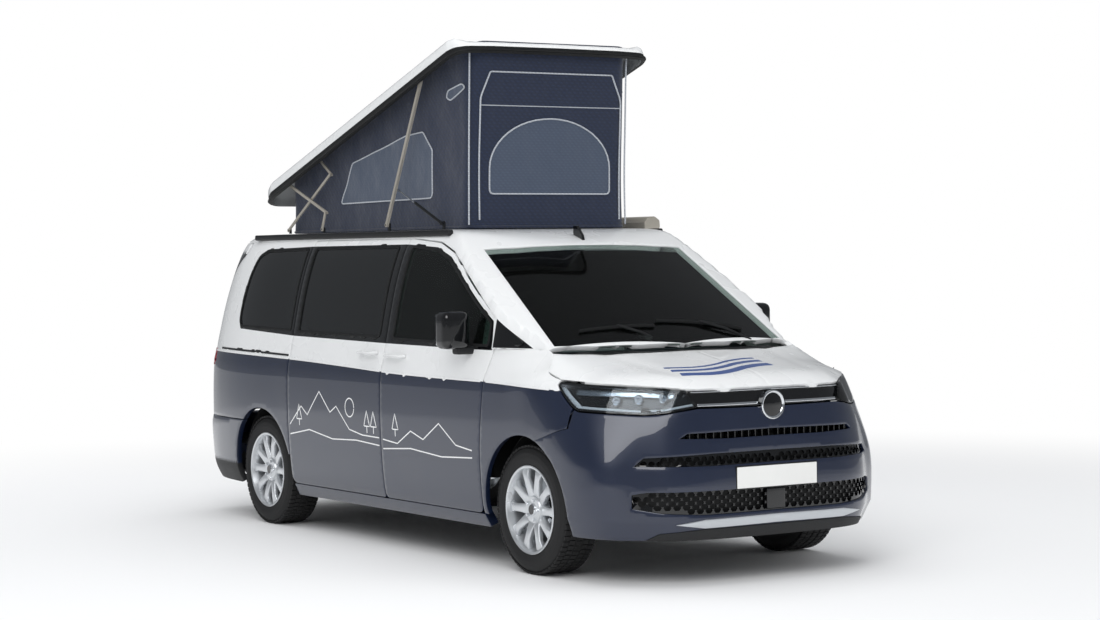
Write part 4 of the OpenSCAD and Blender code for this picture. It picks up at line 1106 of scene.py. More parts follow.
@dataclass
class Front:
    """Bumper, wings, bonnet, lamps and the band between them."""

    gap: float = 0.022

    def __post_init__(self) -> None:
        """Sets out the outlines in the unrolled coordinates."""
        u = BODY.u_for_y
        self.mid = BODY.u_nose
        x = BODY.u_for_x
        corner = x(AXLE_FRONT + 0.484, 0.895)
        outer = x(AXLE_FRONT + 0.275, 1.036)
        self.corner, self.outer = corner, outer
        lamp_in_low, lamp_in_high = u(0.452, 0.911), u(0.500, 0.992)
        self.lamp = rounded(
            [(outer, 1.034), (outer - 0.015, 1.020), (corner - 0.050, 0.905), (corner - 0.03, 0.893),
                (u(0.70, 0.878), 0.876), (u(0.60, 0.882), 0.884), (lamp_in_low, 0.909), (lamp_in_high, 0.994),
                (u(0.62, 1.010), 1.008)],
            [0.004, 0.01, 0.02, 0.02, 0.05, 0.05, 0.004, 0.004, 0.1],
        )
        self.band_outline = [(lamp_in_low + 0.005, 0.911), (lamp_in_high + 0.005, 0.994),
            (u(0.25, 0.993), 0.992), (self.mid, 0.991), (self.mid, 0.905), (u(0.2, 0.906), 0.906)]

    def build(self) -> None:
        """Makes every piece of the front."""
        self.bumper()
        self.wings()
        self.bonnet()
        self.lamps()
        self.grille()

    def bumper(self) -> None:
        """The bumper skin with its intakes, meshes, lip and chin."""
        u, mid = BODY.u_for_y, self.mid
        arch = arc(AXLE_FRONT, WHEEL_Z, ARCH_R, -16, 71)
        top = [(self.corner - 0.085, 0.80), (self.corner - 0.048, 0.895), (self.corner - 0.026, 0.884),
            (u(0.70, 0.87), 0.868), (u(0.60, 0.875), 0.876), (u(0.452, 0.90), 0.900), (u(0.2, 0.90), 0.898),
            (mid, 0.897)]
        low = [(mid, 0.238), (u(0.45, 0.240), 0.238), (u(0.70, 0.232), 0.232)]
        outline = arch + top + low
        slot = [(u(0.56, 0.752), 0.752), (u(0.52, 0.775), 0.776), (mid, 0.784), (mid, 0.748),
            (u(0.3, 0.746), 0.746)]
        mesh_high = [(u(0.76, 0.612), 0.614), (u(0.72, 0.655), 0.656), (u(0.4, 0.672), 0.672), (mid, 0.674),
            (mid, 0.612), (u(0.4, 0.610), 0.610)]
        mesh_low = [(u(0.775, 0.43), 0.400), (u(0.775, 0.48), 0.470), (u(0.72, 0.485), 0.482), (mid, 0.484),
            (mid, 0.362), (u(0.45, 0.362), 0.362), (u(0.66, 0.375), 0.376)]
        openings = [slot, mesh_high, mesh_low]
        net = flat_net(self.notched(outline, openings), [], [], self.gap)
        skin = panel("bumper_skin", net, BODY.ring, [MAT.navy], None, Side.WHOLE, 0.030, 0.004)
        settle(skin, "body", ["front_bumper"])
        back = []
        for k, hole in enumerate(openings):
            back.append(panel(f"b{k}", flat_net(grown(hole, 0.012), gap=0.03), BODY.ring, [MAT.rubber], None,
                Side.BOTH, 0.004, 0.0, -0.055))
        settle(joined("intake_backs", back), "body")
        meshes = [self.honeycomb("h1", mesh_high, 0.030), self.honeycomb("h2", mesh_low, 0.034)]
        settle(joined("intake_meshes", meshes), "body")
        ribs = []
        for y in np.arange(0.03, 0.54, 0.0433):
            a = BODY.ring(np.array([u(float(y), 0.765)]), np.array([0.765]))[0]
            for s in (1, -1):
                ribs.append(block("rib", (a[0] - 0.045, s * y - 0.003, 0.744),
                    (a[0] - 0.010, s * y + 0.003, 0.786), MAT.gloss_black, 0.001, 1))
        settle(joined("slot_ribs", ribs), "body")
        lip = [(u(0.60, 0.315), 0.318), (u(0.45, 0.345), 0.340), (mid, 0.344), (mid, 0.300),
            (u(0.45, 0.295), 0.296)]
        settle(panel("bumper_lip", flat_net(lip, gap=0.02), BODY.ring, [MAT.silver], None, Side.WHOLE, 0.012,
            0.003, 0.008), "body")
        chin = [(u(0.70, 0.24), 0.236), (u(0.66, 0.275), 0.272), (u(0.45, 0.290), 0.291), (mid, 0.292),
            (mid, 0.232)]
        settle(panel("bumper_chin", flat_net(chin, gap=0.025), BODY.ring, [MAT.black], None, Side.WHOLE,
            0.012, 0.003, 0.006), "body")
        nose = BODY.ring(np.array([mid]), np.array([0.42]))[0, 0]
        settle(block("radar_cover", (nose - 0.05, -0.060, 0.368), (nose - 0.008, 0.060, 0.478),
            MAT.gloss_black, 0.008, 4), "body")
        face = BODY.ring(np.array([mid]), np.array([0.54]))[0, 0]
        plate = block("front_plate_blank", (face - 0.014, -0.26, 0.485), (face + 0.004, 0.26, 0.595),
            MAT.plate, 0.004, 3)
        frame = block("front_plate_holder", (face - 0.020, -0.266, 0.479), (face + 0.0005, 0.266, 0.601),
            MAT.black, 0.004, 3)
        settle(plate, "body", ["front_plate"])
        settle(frame, "body")

    @staticmethod
    def notched(edge: Points, openings: Sequence[Points]) -> list[tuple[float, float]]:
        """Cuts openings that reach the centre plane out of a half outline.

        Args:
            edge: the half outline; its last upper point and first lower point lie on the centre plane.
            openings: half outlines whose last point before closing lies on the centre plane.

        Returns:
            One outline that runs round the openings, from the top down.
        """
        pts = [tuple(p) for p in edge]
        u_mid = max(p[0] for p in pts)
        at = max(i for i, p in enumerate(pts) if abs(p[0] - u_mid) < 1e-6 and p[1] > 0.5) + 1
        inserted: list[tuple[float, float]] = []
        for hole in sorted(openings, key=lambda h: -max(p[1] for p in h)):
            on = [i for i, p in enumerate(hole) if abs(p[0] - u_mid) < 1e-6]
            loop = [tuple(p) for p in hole]
            a, b = on[0], on[-1]
            upper, lower = loop[a], loop[b]
            way = [loop[(a - k) % len(loop)] for k in range(len(loop))]
            way = [p for p in way if abs(p[0] - u_mid) > 1e-6]
            inserted += [upper] + way + [lower]
        return pts[:at] + inserted + pts[at:]

    def honeycomb(self, name: str, hole: Points, pitch: float) -> bpy.types.Object:
        """A mesh of flattened hexagons over an opening, on both sides.

        Args:
            name: the piece's name.
            hole: the opening's half outline.
            pitch: spacing of the cells.

        Returns:
            The mesh.
        """
        loop = np.array(hole, float)
        low, high = loop.min(0), loop.max(0)
        wide, tall = pitch * 1.5, pitch * 0.62
        cells: list[Points] = []
        for r, z in enumerate(np.arange(low[1] - tall, high[1] + tall, tall)):
            for x in np.arange(low[0] - wide, high[0] + wide, wide * 2 * 0.5):
                cx = x + (wide * 0.5 if r % 2 else 0)
                cell = [(cx + wide * 0.44 * math.cos(a),
                    z + tall * 0.80 * math.sin(a)) for a in np.arange(6) * math.pi / 3]
                if inside(np.array(cell), resample(loop, 0.02)).all():
                    cells.append(cell)
        outer = grown(hole, 0.004)
        net = flat_net(outer, cells, [], 0.03)
        return panel(name, net, BODY.ring, [MAT.gloss_black], None, Side.BOTH, 0.012, 0.0, -0.014)

    def wings(self) -> None:
        """Front wings, two-tone, up to the bonnet's edge."""
        front = from_axle([(-0.434, 0.292), (-0.424, 0.64), (-0.380, 1.02), (-0.356, 1.172), (-0.356, 1.188)])
        arch = arc(AXLE_FRONT, WHEEL_Z, ARCH_R, 70.5, 188)
        top = from_axle([(-0.10, 1.188), (0.030, 1.187)]) + self.wing_top()
        right = [(self.outer - 0.020, 1.020), (self.corner - 0.056, 0.902), (self.corner - 0.093, 0.80)]
        outline = front + top + right + arch
        line = [(a, float(SPLIT(np.array([a]))[0])) for a in np.linspace(1.268, self.outer - 0.045, 40)]
        net = flat_net(outline, [], [line], self.gap)
        skin = panel("wing_skins", net, BODY.ring, [MAT.navy, MAT.white], two_tone, Side.BOTH, 0.028)
        settle(skin, "body", ["front_wings"])
        strip = [(a, b + 0.002) for a, b in line[1:-2]]
        mould = panel("wing_mouldings", flat_net(band(strip, 0.013), gap=0.012), BODY.ring, [MAT.white], None,
            Side.BOTH, 0.008, 0.0015, 0.005)
        settle(mould, "body")

    def bonnet_edge(self) -> list[tuple[float, float]]:
        """Half of the bonnet's outline in plan, from the centre of its rear edge."""
        rear = from_axle([(0.235, 0.0), (0.228, 0.30), (0.190, 0.52), (0.125, 0.70), (0.098, 0.765)])
        return rear + [(float(p[0]) - 0.003, float(-p[1]) - 0.003) for p in self.bonnet_rim()]

    def wing_top(self) -> list[tuple[float, float]]:
        """The wing's upper edge along the bonnet, in unrolled coordinates."""
        return from_axle([(0.088, 1.168), (0.12, 1.153), (0.17, 1.125),
            (0.235, 1.078)]) + [(self.outer - 0.004, 1.041)]

    def bonnet_rim(self) -> Array:
        """The bonnet's outer edge in space, from the windscreen round to the centre of the nose."""
        u = BODY.u_for_y
        line = self.wing_top() + self.lamp_top()[1:] + [(u(y, 0.996), 0.997) for y in (0.44, 0.34, 0.22,
            0.10)] + [(self.mid, 0.997)]
        pts = np.array(line)
        return BODY.ring(pts[:, 0], pts[:, 1])

    def lamp_top(self) -> list[tuple[float, float]]:
        """Upper edge of the head lamp in unrolled coordinates."""
        u = BODY.u_for_y
        return [(self.outer, 1.036), (u(0.80, 1.026), 1.026), (u(0.70, 1.018), 1.018),
            (u(0.60, 1.008), 1.008), (u(0.51, 0.998), 0.998)]

    def bonnet(self) -> None:
        """The bonnet skin and its bands."""
        half = self.bonnet_edge()
        outline = [(x, -y) for x, y in half]
        net = flat_net(outline, gap=0.028)
        net = Net(net.points, net.faces[:, ::-1]) if self.turned(net) else net
        rim = resample(self.bonnet_rim(), 0.02, False)
        drop = rim[:, 2] + 0.001 - BODY.bonnet(rim[:, 0], rim[:, 1])[:, 2]

        def place(x: Array, y: Array) -> Array:
            """The bonnet with its edge rolled down to the lamps and wings."""
            pts = BODY.bonnet(x, y)
            gap = np.linalg.norm(pts[:, None, :2] - rim[None, :, :2], axis=2)
            near = gap.argmin(1)
            pts[:, 2] += drop[near] * (1 - np.clip(gap.min(1) / 0.14, 0, 1)) ** 2
            return pts

        skin = panel("bonnet_skin", net, place, [MAT.white], None, Side.WHOLE, 0.022, 0.004)
        settle(skin, "bonnet_body", ["bonnet"])
        bands = []
        for k, (shift, wide) in enumerate(((0.0, 0.050), (0.085, 0.034), (0.150, 0.020))):
            line = [(AXLE_FRONT + 0.66 - shift + 0.07 * math.sin(t * 4.2 + 0.4),
                -0.42 + 0.66 * t) for t in np.linspace(0, 1, 40)]
            strip = rounded(band(line, wide), 0.002)
            ribbon = flat_net(strip, gap=0.012)
            bands.append(panel(f"band{k}", ribbon, place, [MAT.blue_vinyl], None, Side.RIGHT, 0.001, 0.0,
                0.0012))
        settle(joined("bonnet_bands", bands), "bonnet_body")

    @staticmethod
    def turned(net: Net) -> bool:
        """Whether a net's faces run clockwise."""
        a, b, c = (net.points[net.faces[0, k]] for k in range(3))
        return float((b[0] - a[0]) * (c[1] - a[1]) - (b[1] - a[1]) * (c[0] - a[0])) < 0

    def lamps(self) -> None:
        """Head lamps: clear lens, dark tray, three projectors and the daylight line."""
        net = flat_net(grown(self.lamp, -0.002), gap=0.018)
        settle(panel("head_lamp_lenses", net, BODY.ring, [MAT.lens], None, Side.BOTH, 0.003, 0.001, -0.001),
            "body", ["headlights"])
        tray = [panel("tray", flat_net(grown(self.lamp, -0.001), gap=0.03), BODY.ring, [MAT.gloss_black],
            None, Side.BOTH, 0.004, 0.0, -0.045)]
        rim = flat_net(grown(self.lamp, 0.001), [grown(self.lamp, -0.010)], gap=0.02)
        tray.append(panel("rim", rim, BODY.ring, [MAT.gloss_black], None, Side.BOTH, 0.044, 0.0, -0.0035))
        settle(joined("head_lamp_trays", tray), "body")
        u = BODY.u_for_y
        bright = []
        low = [(self.corner - 0.045, 0.914), (u(0.70, 0.897), 0.893), (u(0.60, 0.900), 0.899),
            (u(0.47, 0.922), 0.922)]
        outer = [(self.outer + 0.012, 1.014), (self.corner - 0.030, 0.915)]
        bright.append(panel("g1", flat_net(band(resample(low, 0.03, False), 0.013), gap=0.012), BODY.ring,
            [MAT.daylight], None, Side.BOTH, 0.010, 0.002, -0.012))
        bright.append(panel("g2", flat_net(band(resample(outer, 0.03, False), 0.020), gap=0.012), BODY.ring,
            [MAT.daylight], None, Side.BOTH, 0.010, 0.002, -0.014))
        high = [(self.outer + 0.08, 0.995), (u(0.70, 0.985), 0.984), (u(0.55, 0.975), 0.973)]
        bright.append(panel("g3", flat_net(band(resample(high, 0.03, False), 0.030), gap=0.014), BODY.ring,
            [MAT.bright], None, Side.BOTH, 0.010, 0.002, -0.026))
        settle(joined("daylight_guides", bright), "body")
        eyes = []
        for y in (0.60, 0.69, 0.775):
            z = 0.952 - (y - 0.6) * 0.06
            a = BODY.ring(np.array([u(y, z)]), np.array([z]))[0]
            b = BODY.ring(np.array([u(y, z) - 0.02]), np.array([z]))[0]
            along = np.array([a[0] - b[0], a[1] - b[1], 0])
            out = np.cross(along, [0, 0, 1])
            out = out / np.linalg.norm(out) * (1 if out[0] > 0 else -1) if abs(out[0]) > 1e-9 else np.array([1.0, 0, 0])
            for s in (1, -1):
                eyes.append(self.eye(np.array([a[0], a[1] * s, a[2]]) - out * np.array([1, s, 1]) * 0.030,
                    out * np.array([1, s, 1])))
        settle(joined("lamp_projectors", eyes), "body")

    @staticmethod
    def eye(at: Array, out: Array) -> bpy.types.Object:
        """One square projector with a bright frame, facing out."""
        frame = lathe("eye", [(0.0, 0.001), (0.014, 0.001), (0.010, 0.016), (0.012, 0.022), (-0.002, 0.026),
            (-0.01, 0.02)], [MAT.bright, MAT.lens], 24)
        turn = Vector((0, 1, 0)).rotation_difference(Vector(out)).to_matrix().to_4x4()
        frame.data.transform(turn)
        frame.data.transform(Matrix.Translation(Vector(at)))
        return frame

    def grille(self) -> None:
        """The gloss band between the lamps, its bright lines and the round badge."""
        mid, u = self.mid, BODY.u_for_y
        net = flat_net(self.band_outline, gap=0.02)
        settle(panel("band_skin", net, BODY.ring, [MAT.gloss_black], None, Side.WHOLE, 0.016, 0.002, -0.012),
            "body", ["nose_band"])
        lines = []
        for z0, z1, wide in ((0.918, 0.918, 0.014), (0.984, 0.986, 0.006)):
            line = [(float(u(y, 0.92)), z0 + (z1 - z0) * k / 20) for k,
                y in enumerate(np.linspace(0.452 if z0 < 0.95 else 0.49, 0.09 if z0 < 0.95 else 0.0, 21))]
            lines.append(panel("l", flat_net(band(line, wide), gap=0.012), BODY.ring, [MAT.chrome], None,
                Side.BOTH, 0.012, 0.0025, 0.001))
        settle(joined("band_bright_lines", lines), "body")
        x = BODY.ring(np.array([mid]), np.array([0.905]))[0, 0]
        badge = lathe("nose_badge", [(0.020, 0.0005), (0.019, 0.058), (0.018, 0.060), (0.024, 0.064), (0.026,
            0.070), (0.022, 0.0755), (-0.02, 0.0755), (-0.02, 0.0005)], [MAT.gloss_black, MAT.chrome], 72,
            [0, 0, 1, 1, 1, 1, 0])
        badge.data.transform(Matrix.Rotation(-math.pi / 2, 4, "Z"))
        badge.data.transform(Matrix.Translation((x - 0.008, 0, 0.905)))
        settle(badge, "body")


# ---------------------------------------------------------------- roof, screen and tail


def half_path(points: Points, inner: Points) -> list[tuple[float, float]]:
    """A half outline that reaches the centre plane at both ends, less an opening that does the same."""
    return [tuple(p) for p in points] + [tuple(p) for p in inner][::-1]


@dataclass
class Upper:
    """Roof with its pillars, windscreen, quarter glass, rails and awning."""

    hatch: tuple[float, float, float] = (-1.7865, 0.4425, 0.552)
    foot: Points = ()

    def build(self) -> None:
        """Makes every piece."""
        self.roof()
        self.screen()
        self.quarters()
        self.fittings()

    def screen_half(self, grow: float = 0.0) -> list[tuple[float, float]]:
        """Half of the windscreen in plan, from the centre of its base to the centre of its top."""
        slope = [(0, 0), (0.022, 0.280), (0.075, 0.540), (0.158, 0.756), (0.65, 0.714), (1.135, 0.673),
            (1.092, 0.480), (1.068, 0.240), (1.061, 0.0)]
        full = [(1.7875 - s * math.cos(BODY.RAKE), y) for s, y in slope]
        loop = full + [(x, -y) for x, y in full[-2:0:-1]]
        moved = grown(loop, grow) if grow else loop
        return [(x, -y) for x, y in moved[: len(full)]]

    def roof(self) -> None:
        """Roof shell down to the doors' tops and the pillars' feet."""
        line = from_axle([(-0.356, 1.188), (-0.362, 1.356), (-0.827, 1.646), (-0.960, 1.720), (-1.150, 1.776),
            (-1.500, 1.800)])
        side = [(x, z) for x, z in resample(line, 0.05, False)]
        feet = [(1.66, 1.188), (1.60, 1.188), (1.50, 1.188), (1.40, 1.188), (1.33, 1.188)]
        plan = []
        for x, z in feet + side:
            plan.append((x, -float(BODY.half_width(np.array([x]), np.array([z]))[0])))
        back = np.linspace(-1.80, BODY.u_tail, 60)
        rim = BODY.ring(back, np.full(60, 1.799))
        rear = [(float(a), float(b)) for a, b, _ in rim]
        rim = np.concatenate([rim, BODY.ring(np.linspace(0.10, -1.79, 80), np.full(80, 1.801))])
        drop = rim[:, 2] + 0.002 - BODY.upper(rim[:, 0], rim[:, 1])[:, 2]
        glass = self.screen_half(0.004)[::-1]
        low, high, y = self.hatch
        cut = [(low, 0.0), (low, -y), (high, -y), (high, 0.0)]
        outline = plan + rear + cut + glass
        corner = resample(from_axle([(-0.085, 1.193), (-0.350, 1.193), (-0.350, 1.350)]), 0.03)
        self.foot = [(x, -float(BODY.half_width(np.array([x]), np.array([z]))[0])) for x, z in corner]
        net = flat_net(outline, [], [self.foot + self.foot[:1]], 0.026)

        def place(x: Array, y: Array) -> Array:
            """The roof with its edge rolled down to the doors, the panels and the tailgate."""
            pts = BODY.upper(x, y)
            gap = np.linalg.norm(pts[:, None, :2] - rim[None, :, :2], axis=2)
            near = gap.argmin(1)
            pts[:, 2] += drop[near] * (1 - np.clip(gap.min(1) / 0.10, 0, 1)) ** 2
            return pts

        shell = panel("roof_shell", net, place, [MAT.white, MAT.gloss_black], self.pillars, Side.WHOLE, 0.028,
            0.003)
        sharpen(shell.data, 65)
        settle(shell, "body", ["roof_frame"])

    def pillars(self, x: Array, y: Array) -> Array:
        """Finish 1, black, round the quarter glass."""
        return inside(np.column_stack([x, y]), np.array(self.foot)).astype(int)

    def screen(self) -> None:
        """Windscreen with its printed border, cowl and wipers."""

        def place(x: Array, y: Array) -> Array:
            """Points of the windscreen."""
            return np.stack([x, y, BODY.screen_height(x, y)], axis=1)

        half = self.screen_half()
        glass = panel("windscreen_pane", flat_net(half, gap=0.05), place, [MAT.screen], None, Side.WHOLE,
            0.006, 0.0)
        settle(glass, "body", ["windscreen"])
        border = half_path(half, self.screen_half(-0.045))
        settle(panel("windscreen_border", flat_net(border, gap=0.04), place, [MAT.gloss_black], None,
            Side.WHOLE, 0.002, 0.0, -0.0075), "body")
        base = self.screen_half()[:4]
        cowl = [(x + 0.004, y) for x, y in base] + [(1.67, -0.80), (AXLE_FRONT + 0.075, -0.765),
            (AXLE_FRONT + 0.16, -0.60), (AXLE_FRONT + 0.215, -0.32), (AXLE_FRONT + 0.226, 0.0)]

        def shelf(x: Array, y: Array) -> Array:
            """Points of the cowl, just under the bonnet's surface."""
            top = BODY.bonnet(x, y)[:, 2] - 0.012
            return np.stack([x, y, np.minimum(top, 1.196 - 0.3 * np.maximum(np.abs(y) - 0.55, 0))], axis=1)

        net = flat_net(cowl, gap=0.03)
        settle(panel("cowl_panel", net, shelf, [MAT.black], None, Side.WHOLE, 0.01, 0.002), "body")
        wipers = []
        for a, b in ((0.50, -0.06), (-0.10, -0.56)):
            x0, x1 = 1.705, 1.660
            foot = np.array([x0 + 0.02, a, 1.205])
            ends = [(x1 - 0.02 - 0.10 * (k / 8) * 0.4, a + (b - a) * k / 8) for k in range(9)]
            blade = [(x, y, float(BODY.screen_height(np.array([x]), np.array([y]))[0]) + 0.012) for x,
                y in ends]
            wipers.append(tube("blade", np.array(blade), 0.007, MAT.rubber, 6, False, 1.4))
            mid = np.array(blade[4]) + np.array([0, 0, 0.010])
            wipers.append(tube("arm", np.array([foot, (foot + mid) / 2 + np.array([0, 0, 0.012]), mid]),
                0.008, MAT.black, 8))
        settle(joined("windscreen_wipers", wipers), "body")

    def quarters(self) -> None:
        """Quarter glass ahead of the doors."""
        outline = rounded(from_axle([(-0.105, 1.211), (-0.334, 1.209), (-0.334, 1.322)]), [0.02, 0.006, 0.02])
        net = flat_net(outline, gap=0.02)
        settle(panel("quarter_glass", net, BODY.ring, [MAT.privacy], None, Side.BOTH, 0.005, 0.001, 0.006),
            "body")

    def fittings(self) -> None:
        """Roof rails and the awning case."""
        rails = []
        for s in (1, -1):
            low, high = sorted((s * 0.716, s * 0.752))
            rails.append(block("rail", (-1.966, low, 1.808), (0.547, high, 1.843), MAT.black, 0.012, 4))
        settle(joined("roof_rail_caps", rails), "body", ["roof_rails"])
        outline = [(0, 0.014), (0, 0.076), (0.024, 0.106), (0.074, 0.114), (0.112, 0.090), (0.116, 0.044),
            (0.086, 0.016)]
        loop = rounded(outline, [0.004, 0.01, 0.03, 0.03, 0.02, 0.02, 0.02], 4)
        n = len(loop)
        x0, x1 = -2.262, 0.337
        pts = np.array([(x, 0.7628 + a, 1.806 + b) for x in (x0, x1) for a, b in loop])
        faces = [(k, (k + 1) % n, n + (k + 1) % n, n + k) for k in range(n)] + [tuple(range(n))[::-1],
            tuple(range(n, 2 * n))]
        case = mesh_of("awning_case", pts, faces, [MAT.anodised])
        fix_normals(case)
        edge = case.modifiers.new("edge", "BEVEL")
        edge.width, edge.segments, edge.limit_method = 0.006, 3, "ANGLE"
        settle(baked(case), "body", ["awning"])


@dataclass
class Tail:
    """Tailgate and rear bumper."""

    gap: float = 0.03

    def build(self) -> None:
        """Makes both."""

        def u(y: float, z: float) -> float:
            """Unrolled coordinate at the tail."""
            return BODY.u_for_y(y, z, True)

        mid = BODY.u_tail
        zs = np.linspace(1.788, 0.68, 24)
        edge = [(mid, 1.797), (u(0.60, 1.797), 1.797)] + [(u(gate_y(z) - 0.003, float(z)),
            float(z)) for z in zs] + [(u(0.745, 0.666), 0.666), (mid, 0.666)]
        glass = rounded([(mid + 1e-4, 1.19), (u(0.65, 1.19), 1.19), (u(0.60, 1.72), 1.72),
            (mid + 1e-4, 1.722)], [0, 0.05, 0.05, 0])
        glass = [(mid, 1.19)] + glass[1:-1] + [(mid, 1.722)]
        outline = edge + glass
        net = flat_net(outline, [], [], self.gap)
        tones = [MAT.navy, MAT.white, MAT.gloss_black]

        def pick(a: Array, b: Array) -> Array:
            """Finish by height: navy, then white, and black round the glass."""
            return np.where((b > 1.17) & (b < 1.735), 2, (b > 1.088).astype(int))

        settle(panel("tailgate_skin", net, BODY.ring, tones, pick, Side.WHOLE, 0.034), "tailgate_body",
            ["tailgate"])
        pane = [(mid, 1.191)] + [(a, b) for a, b in grown(glass, -0.001)[1:-1]] + [(mid, 1.721)]
        settle(panel("rear_screen", flat_net(pane, gap=0.05), BODY.ring, [MAT.privacy], None, Side.WHOLE,
            0.004, 0.0, -0.002), "tailgate_body", ["rear_window"])
        face = float(BODY.ring(np.array([mid]), np.array([0.855]))[0, 0])
        settle(block("rear_plate_blank", (face - 0.010, -0.26, 0.80), (face + 0.004, 0.26, 0.91), MAT.plate,
            0.003, 3), "tailgate_body", ["rear_plate"])
        trim = [block("gate_handle", (face - 0.022, -0.33, 0.935), (face + 0.02, 0.33, 0.972),
            MAT.gloss_black, 0.010, 4)]
        settle(joined("gate_bar", trim), "tailgate_body")
        z0, z1 = 1.22, 1.30
        path = []
        for k in range(12):
            y = 0.02 + 0.42 * k / 11
            z = z0 + (z1 - z0) * k / 11
            p = BODY.ring(np.array([u(y, z)]), np.array([z]))[0]
            path.append((p[0] - 0.016, y, z))
        settle(tube("rear_wiper", np.array(path), 0.008, MAT.black, 8), "tailgate_body")
        arch = arc(AXLE_REAR, WHEEL_Z, ARCH_R, 129.6, 195)
        outline = [(mid, 0.652)] + [(u(y, 0.652), 0.652) for y in (0.3, 0.6, 0.8, 0.9)] + arch + [(-1.90,
            0.236), (-2.30, 0.236), (mid, 0.236)]
        net = flat_net(outline, [], [], self.gap)

        def dark(a: Array, b: Array) -> Array:
            """Finish 1, grained black, along the lower edge."""
            return (b < 0.37).astype(int)

        settle(panel("rear_bumper_skin", net, BODY.ring, [MAT.navy, MAT.black], dark, Side.WHOLE, 0.034,
            0.004), "body", ["rear_bumper"])


# ---------------------------------------------------------------- wheels


